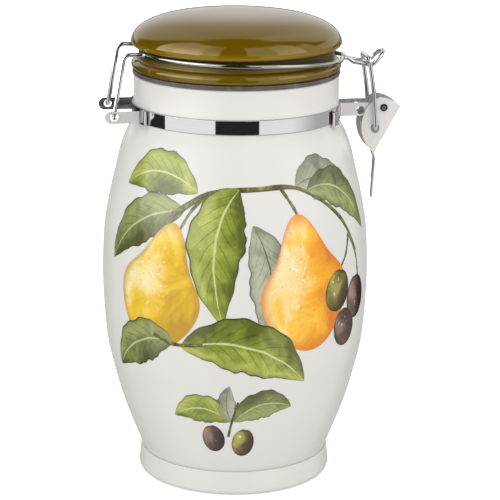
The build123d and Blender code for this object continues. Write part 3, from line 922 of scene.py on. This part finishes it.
def satin_steel(name, tone, worn_hole=None):
    """Plated sheet: satin on its flat faces, streaked where it is bent, dark on its cut edges and on
    the hinge ears' inner faces, and a little darker on the latch's. A hole may be worn dark. Its tone
    scales the plate's colour, so that copies of the one steel carry painted light."""
    material, t, shader = make_material(name)
    worked = use_group(t, STEEL, Vector=t.place(), Lines=0.8)
    geometry = t.nodes.new("ShaderNodeNewGeometry")
    _, facing, rising = t.split(geometry.outputs["Normal"])
    x, y, z = t.split(t.place())
    inward = t.times(facing, t.math("SIGN", y), -1.0)
    ears = t.largest(t.fade(x, -EAR_START, -EAR_FULL), t.fade(x, EAR_START, EAR_FULL, 0.0, 0.32))
    inner = t.times(t.step(inward, 0.3, 0.6), ears)
    flat = t.times(t.step(t.math("ABSOLUTE", facing), 0.80, 0.97), t.math("SUBTRACT", 1.0, inner))
    cut = t.step(t.math("ABSOLUTE", rising), 0.55, 0.85)
    grain = t.noise(t.place(), 900.0, 3.0, 0.7)
    low, high = ([channel * tone for channel in c] for c in ((0.735, 0.71, 0.685), (0.81, 0.785, 0.76)))
    plate = t.mix(grain, (*low, 1), (*high, 1))
    plate = t.mix(t.times(worked["Marks"], 0.25), plate, (0.60, 0.575, 0.56, 1))
    streaks = t.noise(t.place(), 900.0, 3.0, 0.6, stretch=(1.0, 1.0, 0.12))
    stops = [(0.34, (0.11, 0.105, 0.10)), (0.5, (0.40, 0.39, 0.38)), (0.64, (0.82, 0.81, 0.80))]
    bent = t.ramp(streaks, stops)
    drawn = t.noise(t.place(), 700.0, 3.0, 0.6, stretch=(0.08, 1.0, 1.0))
    raw = t.mix(t.step(drawn, 0.35, 0.7), (0.09, 0.085, 0.08, 1), (0.26, 0.25, 0.24, 1))
    body = t.mix(cut, t.mix(flat, bent, plate), (0.07, 0.066, 0.062, 1))
    if worn_hole:
        apart = [t.math("SUBTRACT", place, middle * MM) for place, middle in zip((x, z), worn_hole)]
        body = t.mix(t.fade(t.length(*apart), *WORN_RING), body, (0.04, 0.037, 0.034, 1))
    rough = t.math("MULTIPLY_ADD", worked["Marks"], 0.10, 0.15)
    dulled = t.largest(t.times(flat, 0.70), t.times(inner, 0.60))
    t.put(shader.inputs["Base Color"], t.mix(inner, body, raw))
    t.put(shader.inputs["Metallic"], t.math("SUBTRACT", 1.0, dulled))
    t.put(shader.inputs["Roughness"], t.math("MULTIPLY_ADD", flat, 0.24, rough))
    t.put(shader.inputs["Normal"], t.bump(worked["Height"], 0.12, 0.00004))
    return material


def turned_rivet_steel():
    """The rivet: a dark rolled lip round a lightly pitted middle, painted pale as painted light in its shaded
    bore.
    """
    material, t, shader = make_material("rivet_steel")
    worked = use_group(t, STEEL, Vector=t.place(), Lines=0.6)
    x, _, z = t.split(t.place())
    apart = (t.math("SUBTRACT", x, PIVOT_REACH * MM), t.math("SUBTRACT", z, PIVOT_HEIGHT * MM))
    # painted light: the bore's middle is painted pale and made less metallic, so that it does not read as
    # shade
    middle = t.fade(t.length(*apart), *RIVET_PAINTED_LIGHT)
    pits = t.noise(t.place(), 1400.0, 2.0, 0.6)
    lip = t.mix(pits, (0.05, 0.048, 0.045, 1), (0.20, 0.19, 0.185, 1))
    painted_pale_middle = t.mix(pits, (0.45, 0.44, 0.42, 1), (0.85, 0.84, 0.82, 1))
    t.put(shader.inputs["Base Color"], t.mix(middle, lip, painted_pale_middle))
    t.put(shader.inputs["Metallic"], t.math("MULTIPLY_ADD", middle, -0.6, 1.0))
    t.put(shader.inputs["Roughness"], t.math("MULTIPLY_ADD", worked["Marks"], 0.10, 0.22))
    t.put(shader.inputs["Normal"], t.bump(t.math("ADD", worked["Height"], pits), 0.15, 0.00005))
    return material


# Print: shapes laid on the jar, in millimetres round it from the front's middle line and up

FRONT = math.radians(-98.5)
PRINT_RADIUS = 60.0
BELLY_LINE = belly_line()


def jar_radius(height):
    for low, high in zip(BELLY_LINE[:-1], BELLY_LINE[1:]):
        if low.y <= height <= high.y:
            share = (height - low.y) / (high.y - low.y)
            return low.x + (high.x - low.x) * share
    raise ValueError(height)


def on_jar(across, up, lift, side):
    """A point on the belly, lifted off it, on the front (side 0) or the back (side 1)."""
    turn = FRONT + side * math.pi + across / PRINT_RADIUS
    radius = jar_radius(up) + lift
    return Vector((radius * math.cos(turn) * MM, radius * math.sin(turn) * MM, up * MM))


def laid(name, columns, rows, shape, layer, side):
    """A grid bent into a shape on the belly: shape gives (across, up) for each share across and along.
    It ends in a closed film that reaches a little into the glaze."""
    start_fresh()
    bpy.ops.mesh.primitive_grid_add(x_subdivisions=columns, y_subdivisions=rows, size=1.0)
    obj = bpy.context.object
    obj.name = name
    for v in obj.data.vertices:
        across, up = shape(v.co.x + 0.5, v.co.y + 0.5)
        v.co = on_jar(across, up, FILM_LIFT + FILM_LAYER * layer, side)
    film = obj.modifiers.new("film", "SOLIDIFY")
    film.thickness = FILM_THICKNESS * MM
    film.offset = -1
    apply_modifiers(obj)
    return tidy_mesh(obj)


def along_spine(spine, share):
    """The place and the sideways direction at a share of a smooth line's length."""
    index = min(int(share * (len(spine) - 1)), len(spine) - 2)
    rest = share * (len(spine) - 1) - index
    place = spine[index].lerp(spine[index + 1], rest)
    before, after = spine[max(index - 1, 0)], spine[min(index + 2, len(spine) - 1)]
    run = (after - before).normalized()
    return place, Vector((-run.y, run.x))


def leaf(name, stalk, bend, tip, width, layer, side, fat, wave):
    """A leaf along a bent spine, widest at a share of its length, with a slightly wavy edge."""
    stalk, bend, tip = Vector(stalk), Vector(bend), Vector(tip)
    shares = [i / 24 for i in range(25)]
    spine = [stalk * (1 - t) ** 2 + bend * 2 * t * (1 - t) + tip * t**2 for t in shares]

    def shape(u, v):
        place, out = along_spine(spine, v)
        swell = (v / fat) ** 0.75 if v < fat else 1.0
        narrow = math.cos((v - fat) / (1 - fat) * math.pi / 2) ** 0.85 if v > fat else 1.0
        grow = math.sin(min(swell, 1.0) * math.pi / 2)
        half = width / 2 * max(grow * narrow, 0.012)
        ripple = 1 + 0.05 * math.sin(v * 19 + wave) + 0.035 * math.sin(v * 43 + 2 * wave)
        return place + out * ((0.5 - u) * 2 * half * ripple)

    return laid(name, 15, 44, shape, layer, side)


def disc_place(u, v):
    """Where the shares across and along a square grid come to lie in a round disc."""
    x, y = 2 * u - 1, 2 * v - 1
    return x * math.sqrt(1 - y * y / 2), y * math.sqrt(1 - x * x / 2)


def leaned(centre, x, y, lean):
    """A place turned by an angle in degrees and moved to a centre."""
    return Vector(centre) + Matrix.Rotation(math.radians(lean), 2) @ Vector((x, y))


def pear(name, centre, height, width, lean, layer, side):
    """A pear: round below and drawn into a neck above, leaned over by an angle in degrees."""

    def shape(u, v):
        x, y = disc_place(u, v)
        waist = 1 - 0.46 / (1 + math.exp(-7.5 * (y - 0.22)))
        crown = 1 + 0.03 * math.cos(3 * x)
        return leaned(centre, x * width / 2 * waist, y * height / 2 * crown, lean)

    return laid(name, 30, 30, shape, layer, side)


def plum(name, centre, height, width, lean, layer, side):
    """A plum: an egg with a shallow dent where its seam runs."""

    def shape(u, v):
        x, y = disc_place(u, v)
        narrow = 1 - 0.07 * y
        dent = 1 - 0.05 * math.exp(-(x * 6) ** 2) * max(y, 0)
        return leaned(centre, x * width / 2 * narrow, y * height / 2 * dent, lean)

    return laid(name, 18, 18, shape, layer, side)


def twig(name, places, thick, thin, layer, side):
    """A twig through places, thick at its root, with small knots."""
    first = Vector(places[1]) - Vector(places[0])
    last = Vector(places[-1]) - Vector(places[-2])
    spine = smooth_through(places, first, last, 10)

    def shape(u, v):
        place, out = along_spine(spine, v)
        half = (thick + (thin - thick) * v) / 2 * (1 + 0.12 * math.sin(v * 17) + 0.08 * math.sin(v * 41))
        return place + out * ((0.5 - u) * 2 * half)

    return laid(name, 3, 60, shape, layer, side)


def leaf_wash(name, shade, middle, bright, edge, rib, seed):
    """A painted leaf: darker edges, a pale or dark rib, fine side veins and grainy pigment."""
    material, t, shader = make_material(name)
    u, v, _ = t.split(t.place("UV"))
    wobble = t.math("SUBTRACT", t.noise(t.place(), 160.0, 4.0, 0.6), 0.5)
    off = t.math("ABSOLUTE", t.math("SUBTRACT", t.math("MULTIPLY_ADD", wobble, 0.06, u), 0.5))
    run = t.math("MULTIPLY_ADD", off, -0.55, v)
    veins = t.math("SINE", t.math("MULTIPLY_ADD", run, 58.0, t.times(wobble, 3.0)))
    vein = t.times(t.step(veins, 0.86, 1.0), t.step(off, 0.46, 0.2))
    wash = t.noise(t.place(), 75.0 + seed, 4.0, 0.6, distortion=0.6)
    grain = t.noise(t.place(), 1300.0, 2.0, 0.7)
    light = t.math("MULTIPLY_ADD", wash, 0.8, t.times(t.math("SUBTRACT", u, 0.5), 0.35))
    body = t.ramp(light, [(0.22, shade), (0.40, middle), (0.56, bright), (0.74, middle)])
    body = t.mix(t.step(off, 0.34, 0.49, 0.0, 0.45), body, (*shade, 1))
    body = t.mix(t.times(vein, 0.5), body, (*edge, 1))
    body = t.mix(t.step(off, 0.46, 0.487, 0.0, 0.9), body, (*edge, 1))
    body = t.mix(t.step(off, 0.030, 0.012, 0.0, 0.85), body, (*rib, 1))
    body = t.mix(t.step(grain, 0.45, 0.75, 0.0, 0.22), body, (*shade, 1))
    finish_print(t, shader, body)
    return material


def fruit_wash(name, pale, warm, deep, rim, seed, freckle, streak):
    """A painted fruit: pale where the light falls, warm in its middle, deep at the far side and rim."""
    material, t, shader = make_material(name)
    u, v, _ = t.split(t.place("UV"))
    x = t.math("MULTIPLY_ADD", u, 2.0, -1.0)
    y = t.math("MULTIPLY_ADD", v, 2.0, -1.0)
    rim_near = t.largest(t.math("ABSOLUTE", x), t.math("ABSOLUTE", y))
    wash = t.math("SUBTRACT", t.noise(t.place(), 55.0 + seed, 5.0, 0.62, distortion=0.9), 0.5)
    side = t.math("MULTIPLY_ADD", wash, 1.3, t.math("MULTIPLY_ADD", x, 0.36, t.times(y, -0.14)))
    body = t.ramp(t.math("ADD", side, 0.5), [(0.12, pale), (0.36, warm), (0.62, deep), (0.92, rim)])
    apart = t.length(t.math("ADD", x, 0.34), t.math("SUBTRACT", y, 0.16))
    lit = t.step(t.math("MULTIPLY_ADD", wash, 0.9, apart), 0.62, 0.12)
    body = t.mix(t.times(lit, 0.62), body, (*pale, 1))
    wobble = t.math("MULTIPLY_ADD", wash, 0.18, rim_near)
    body = t.mix(t.step(wobble, 0.74, 1.0, 0.0, 0.8), body, (*rim, 1))
    spots = t.noise(t.place(), 420.0, 2.0, 0.5)
    body = t.mix(t.step(spots, 0.66, 0.72, 0.0, freckle), body, (*rim, 1))
    lights = t.noise(t.place(), 520.0 + seed, 0.0, 0.5)
    glint = t.times(t.step(lights, 0.725, 0.76), t.step(apart, 0.80, 0.25), streak)
    body = t.mix(glint, body, (1.0, 0.97, 0.86, 1))
    grain = t.noise(t.place(), 1500.0, 2.0, 0.7)
    body = t.mix(t.step(grain, 0.5, 0.8, 0.0, 0.16), body, (*deep, 1))
    finish_print(t, shader, body)
    return material


def finish_print(t, shader, body):
    """The print is fired into the glaze, so it shares its gloss."""
    glaze = use_group(t, GLAZE, Vector=t.place(), Tone=0.1)
    t.put(shader.inputs["Base Color"], body)
    t.put(shader.inputs["Roughness"], t.math("MULTIPLY_ADD", glaze["Haze"], 0.06, 0.13))
    t.put(shader.inputs["Normal"], t.bump(glaze["Height"], 0.12, 0.0004))


def bark_wash():
    """A painted twig: streaked bark, darker along its lower side."""
    material, t, shader = make_material("twig_wash")
    u = t.split(t.place("UV"))[0]
    streaks = t.noise(t.place(), 260.0, 4.0, 0.65)
    stops = [(0.3, (0.035, 0.025, 0.012)), (0.5, (0.14, 0.13, 0.03)), (0.7, (0.36, 0.40, 0.09))]
    body = t.ramp(streaks, stops)
    body = t.mix(t.step(u, 0.55, 0.9, 0.0, 0.7), body, (0.05, 0.035, 0.02, 1))
    finish_print(t, shader, body)
    return material


WASHES = {
    "fresh": leaf_wash(
        "leaf_fresh", (0.12, 0.14, 0.025), (0.30, 0.35, 0.055), (0.52, 0.56, 0.13),
        edge=(0.045, 0.05, 0.015), rib=(0.72, 0.76, 0.36), seed=0.0,
    ),
    "dusky": leaf_wash(
        "leaf_dusky", (0.10, 0.11, 0.04), (0.23, 0.26, 0.085), (0.38, 0.42, 0.15),
        edge=(0.05, 0.05, 0.025), rib=(0.62, 0.66, 0.36), seed=7.0,
    ),
    "grey": leaf_wash(
        "leaf_grey", (0.22, 0.23, 0.17), (0.38, 0.40, 0.27), (0.53, 0.55, 0.42),
        edge=(0.11, 0.12, 0.08), rib=(0.10, 0.11, 0.03), seed=13.0,
    ),
    "pear": fruit_wash(
        "pear_wash", (1.0, 0.83, 0.46), (1.0, 0.60, 0.07), (0.97, 0.44, 0.01), (0.76, 0.22, 0.02),
        seed=0.0, freckle=0.35, streak=0.75,
    ),
    "pear_green": fruit_wash(
        "pear_green_wash", (0.98, 0.88, 0.50), (0.95, 0.68, 0.10), (0.84, 0.52, 0.02), (0.55, 0.32, 0.02),
        seed=9.0, freckle=0.35, streak=0.65,
    ),
    "plum": fruit_wash(
        "plum_wash", (0.36, 0.24, 0.19), (0.16, 0.085, 0.065), (0.065, 0.035, 0.03), (0.03, 0.015, 0.015),
        seed=4.0, freckle=0.2, streak=0.55,
    ),
    "plum_green": fruit_wash(
        "plum_green_wash", (0.52, 0.50, 0.12), (0.22, 0.19, 0.035), (0.10, 0.065, 0.02), (0.04, 0.02, 0.012),
        seed=11.0, freckle=0.2, streak=0.6,
    ),
    "twig": bark_wash(),
}


def garland(side):
    """One bough of pears, plums and leaves, and a small sprig below it, as dressed pieces. Places are
    in millimetres across from the print's middle line and up, and later layers lie over earlier ones."""
    tag = "front" if side == 0 else "back"
    made = []

    def add(kind, wash, *values, **more):
        name = f"print_{tag}_{kind.__name__}_{len(made):02d}"
        piece = kind(name, *values, side=side, **more)
        dress(piece, WASHES[wash])
        made.append(piece)

    add(leaf, "grey", (30, 143), (45, 152), (68, 133), 19, layer=0, fat=0.42, wave=1.0)
    add(leaf, "fresh", (-18, 141), (-40, 156), (-62, 140), 19, layer=0, fat=0.5, wave=2.0)
    add(leaf, "dusky", (-24, 133), (-52, 132), (-66, 106), 20, layer=1, fat=0.45, wave=3.0)
    add(leaf, "grey", (8, 128), (22, 104), (14, 74), 20, layer=0, fat=0.5, wave=4.0)
    add(twig, "twig", [(-30, 131), (-12, 141), (10, 143), (32, 142), (54, 128), (66, 110)], 2.6, 1.3, layer=2)
    add(twig, "twig", [(-12, 141), (-20, 134), (-26, 124)], 1.6, 1.2, layer=2)
    add(twig, "twig", [(22, 143), (28, 134), (31, 127)], 1.6, 1.2, layer=2)
    add(twig, "twig", [(60, 119), (57, 110), (52, 104)], 1.3, 0.9, layer=2)
    add(twig, "twig", [(60, 119), (66, 108), (68, 98)], 1.2, 0.9, layer=2)
    add(pear, "pear_green", (-35, 99), 57, 44, -14, layer=3)
    add(pear, "pear", (33, 101), 60, 47, 8, layer=3)
    add(leaf, "fresh", (2, 143), (-16, 126), (-5, 84), 26, layer=4, fat=0.45, wave=5.0)
    add(leaf, "dusky", (36, 141), (60, 148), (76, 118), 17, layer=3, fat=0.45, wave=6.0)
    add(leaf, "fresh", (-24, 73), (8, 84), (34, 56), 25, layer=5, fat=0.5, wave=7.0)
    add(leaf, "dusky", (-28, 75), (-48, 78), (-64, 57), 20, layer=5, fat=0.5, wave=8.0)
    add(twig, "twig", [(-38, 77), (-27, 74), (-14, 75)], 1.4, 1.6, layer=6)
    add(plum, "plum", (66, 89), 20, 16, 6, layer=4)
    add(plum, "plum_green", (51, 95), 19, 15.5, -14, layer=5)
    add(plum, "plum", (57, 77), 18, 15, 20, layer=6)
    add(leaf, "fresh", (-2, 38), (-16, 50), (-31, 39), 14, layer=0, fat=0.5, wave=1.5)
    add(leaf, "dusky", (0, 38), (13, 52), (29, 44), 14, layer=0, fat=0.5, wave=2.5)
    add(leaf, "grey", (-1, 38), (-6, 46), (-2, 56), 9, layer=0, fat=0.5, wave=3.5)
    add(twig, "twig", [(2, 48), (-1, 38), (-3, 30)], 1.0, 1.3, layer=1)
    add(plum, "plum", (-11, 29), 14, 12, 12, layer=2)
    add(plum, "plum_green", (5, 27), 14.5, 12, -10, layer=3)
    return made


# Pieces

jar = make_jar()
dress(jar, white_glaze())
finish_piece(jar, "jar", "white_glaze", "jar_body")
for side in (0, 1):
    for piece in garland(side):
        finish_piece(piece, "jar", "white_glaze")

seal = make_seal()
dress(seal, seal_rubber())
finish_piece(seal, "lid", "seal_rubber", "gasket")

lid = make_lid()
dress(lid, olive_glaze())
finish_piece(lid, "lid", "olive_glaze", "lid")

# its last colour is a painted shade for the bail's ring, which holds down its reflections
wire_steel = steel(
    "wire_steel", (0.62, 0.60, 0.59), (0.86, 0.84, 0.83),
    gloss=0.09, spread=0.06, relief=0.03, lines=0.9, rise=0.06, ring_shade=(0.42, 0.405, 0.395),
)
bail = wire("bail_wire", bail_line())
dress(bail, wire_steel)
finish_piece(bail, "bail", "wire_steel", "lid_wire")
link = wire("link_wire", link_line())
dress(link, wire_steel)
finish_piece(link, "link", "wire_steel", "latch_link")

band_steel = steel(
    "band_steel", (0.82, 0.82, 0.81), (0.88, 0.88, 0.87),
    gloss=0.025, spread=0.03, relief=0.02,
)
# painted light: the latch strips and the lever are lighter copies of the bracket's plated steel
bracket_steel = satin_steel("satin_steel", 0.98)
arm_steel = satin_steel("arm_steel", 1.10)
lever_steel = satin_steel("lever_steel", 1.21, (LINK_HOLE_REACH, LINK_HOLE_HEIGHT))
rivet_steel = turned_rivet_steel()
SHEET = (
    ("neck_band_front", "front_band", "jar", "band_steel", band_steel, 0.06),
    ("neck_band_rear", "rear_band", "jar", "band_steel", band_steel, 0.06),
    ("hinge_saddle", "hinge_bracket", "jar", "bracket_steel", bracket_steel, 0.08),
    ("latch_strip_front", "latch_arm_front", "jar", "bracket_steel", arm_steel, 0.08),
    ("latch_strip_rear", "latch_arm_rear", "jar", "bracket_steel", arm_steel, 0.08),
    ("clamp_lever", "latch_lever", "lever", "bracket_steel", lever_steel, 0.08),
    ("tube_rivet", "lever_rivet", "jar", "rivet_steel", rivet_steel, 0.05),
)
for name, node, body, slot, material, edge in SHEET:
    piece = pressed(name, node, edge)
    dress(piece, material)
    finish_piece(piece, body, slot, node)


# Camera, floor, light


CAMERA_PLACE = Vector((-0.13488, -0.90250, 0.34707))
CAMERA_RIGHT = Vector((0.98822, -0.15285, 0.00868))
CAMERA_UP = Vector((0.03133, 0.25737, 0.96581))
CAMERA_LENS = 149.52


def set_camera():
    """A long lens from a little left of the front and above, where foot and rim show the same ovals
    as in the photo."""
    data = bpy.data.cameras.new("photo_camera")
    data.lens = CAMERA_LENS
    data.clip_start, data.clip_end = 0.01, 50.0
    camera = bpy.data.objects.new("photo_camera", data)
    bpy.context.scene.collection.objects.link(camera)
    turn = Matrix((CAMERA_RIGHT, CAMERA_UP, CAMERA_RIGHT.cross(CAMERA_UP))).transposed().to_4x4()
    camera.matrix_world = Matrix.Translation(CAMERA_PLACE) @ turn
    bpy.context.scene.camera = camera


def set_floor():
    """A pale floor that only darkens round the jar; the camera sees it as white."""
    start_fresh()
    bpy.ops.mesh.primitive_plane_add(size=12.0, location=(0, 0, 0))
    floor = bpy.context.object
    floor.name = "floor"
    material, t, shader = make_material("floor")
    path = t.nodes.new("ShaderNodeLightPath")
    grain = t.noise(t.place(), 40.0, 2.0)
    x, y, _ = t.split(t.place())
    glow = t.step(t.length(x, y), 0.35, 0.80, 0.47, 1.0)
    t.put(shader.inputs["Base Color"], t.mix(grain, (0.86, 0.86, 0.86, 1), (0.88, 0.88, 0.88, 1)))
    t.put(shader.inputs["Emission Strength"], t.times(path.outputs["Is Camera Ray"], glow))
    shader.inputs["Emission Color"].default_value = (1, 1, 1, 1)
    shader.inputs["Roughness"].default_value = 0.9
    shader.inputs["Specular IOR Level"].default_value = 0.0
    dress(floor, material)
    floor.visible_glossy = False


# Soft boxes over the horizon, which the glaze shows. Angles are degrees round from the camera and up,
# ends is the brightness at the left and right end, and tall its share at the foot and the top.
SoftBox = namedtuple("SoftBox", "left right top soft_side soft_up ends tall")
UPPER_BOXES = (
    SoftBox(-94.0, -21.0, 61.0, 5.0, 9.0, (2.9, 1.7), (1.2, 0.45)),
    SoftBox(-70.0, -46.0, 61.0, 20.0, 9.0, (3.7, 3.7), (1.25, 0.38)),
    SoftBox(14.0, 80.0, 57.0, 4.0, 7.0, (1.05, 1.05), (1.0, 1.0)),
    SoftBox(49.0, 80.0, 51.0, 6.0, 9.0, (2.35, 2.35), (1.0, 0.6)),
    SoftBox(84.0, 100.0, 40.0, 4.0, 6.0, (1.0, 1.0), (1.0, 1.0)),
    SoftBox(88.0, 140.0, 21.0, 4.0, 5.0, (1.0, 1.0), (1.0, 1.0)),
)
# Boxes under it, which the neck band shows: left, right and the brightness at each
LOWER_BOXES = (
    (-84.0, -23.0, 0.87, 0.87),
    (26.0, 57.0, 0.84, 0.86),
    (57.0, 108.0, 0.86, 0.42),
    (108.0, 128.0, 0.42, 0.42),
)
DARK_ROOM = 0.02
EVEN_LIGHT = 0.83


def between(t, turn, left, right, soft):
    """A mask between two angles round, with soft edges."""
    return t.times(t.step(turn, left - soft, left), t.step(turn, right + soft, right))


def room_light(t, turn, height):
    """How bright the room is in a direction."""
    low = t.step(height, 2.5, -0.5)
    high = t.math("SUBTRACT", 1.0, low)
    lights = []
    for box in UPPER_BOXES:
        shape = t.times(
            between(t, turn, box.left, box.right, box.soft_side),
            t.step(height, box.top + box.soft_up, box.top),
            high,
        )
        tone = t.times(t.step(turn, box.left, box.right, *box.ends), t.step(height, 5.0, 56.0, *box.tall))
        lights.append(t.times(shape, tone))
    over_floor = t.times(t.step(height, -62.0, -60.0), low)
    for left, right, first, last in LOWER_BOXES:
        tone = t.step(turn, left, right, first, last)
        lights.append(t.times(between(t, turn, left, right, 1.0), over_floor, tone))
    aside = t.math("ABSOLUTE", turn)
    behind = t.times(t.step(aside, 140.0, 160.0), low, 0.35)
    flank = t.times(t.step(aside, 172.0, 148.0), t.step(turn, -90.0, 90.0, 0.15, 0.32))
    tone = t.largest(t.step(height, 36.0, 12.0, 0.63, 0.95), t.math("ADD", flank, 0.63))
    past_edge = t.math("SUBTRACT", aside, t.step(height, 8.0, 40.0, 138.0, 116.0))
    above = t.times(t.step(past_edge, -7.0, 7.0), t.step(height, 76.0, 66.0), high, tone)
    floor = t.times(t.step(height, -42.0, -55.0), 0.75)
    return t.largest(DARK_ROOM, *lights, behind, above, floor)


def set_world():
    """White for the camera, even light for the surfaces, and a room of soft boxes for what shines."""
    world = bpy.data.worlds.new("room")
    bpy.context.scene.world = world
    world.use_nodes = True
    t = Tree(world.node_tree)
    path = t.nodes.new("ShaderNodeLightPath")
    x, y, z = t.split(t.place("Generated"))
    to_camera = math.atan2(CAMERA_PLACE.y, CAMERA_PLACE.x)
    c, s = math.cos(to_camera), math.sin(to_camera)
    front = t.math("ADD", t.times(x, c), t.times(y, s))
    right = t.math("SUBTRACT", t.times(y, c), t.times(x, s))
    turn = t.math("DEGREES", t.math("ARCTAN2", right, front))
    height = t.math("DEGREES", t.math("ARCSINE", z))
    shine = path.outputs["Is Glossy Ray"]
    even = t.times(t.math("SUBTRACT", 1.0, shine), EVEN_LIGHT)
    strength = t.math("MULTIPLY_ADD", room_light(t, turn, height), shine, even)
    background = t.nodes["Background"]
    background.inputs["Color"].default_value = (1, 1, 1, 1)
    t.put(background.inputs["Strength"], t.largest(strength, path.outputs["Is Camera Ray"]))


def soft_light(name, place, width, depth, power):
    """A soft lamp that faces the jar and shows neither itself nor its reflection."""
    data = bpy.data.lights.new(name, "AREA")
    data.shape = "RECTANGLE"
    data.size, data.size_y = width, depth
    data.energy = power
    lamp = bpy.data.objects.new(name, data)
    bpy.context.scene.collection.objects.link(lamp)
    lamp.location = place
    lamp.rotation_euler = (LIGHT_AIM - Vector(place)).to_track_quat("-Z", "Y").to_euler()
    lamp.visible_glossy = False
    lamp.visible_camera = False


LIGHT_AIM = Vector((0, 0, 0.1))
set_camera()
set_floor()
set_world()
soft_light("top_light", (0.0, -0.3, 1.5), 1.6, 1.6, 2.6)
soft_light("left_light", (-1.3, -0.9, 0.7), 1.0, 1.2, 4.5)
soft_light("right_light", (1.1, -1.2, 0.7), 1.0, 1.2, 3.3)
bpy.context.scene.view_settings.view_transform = "Standard"
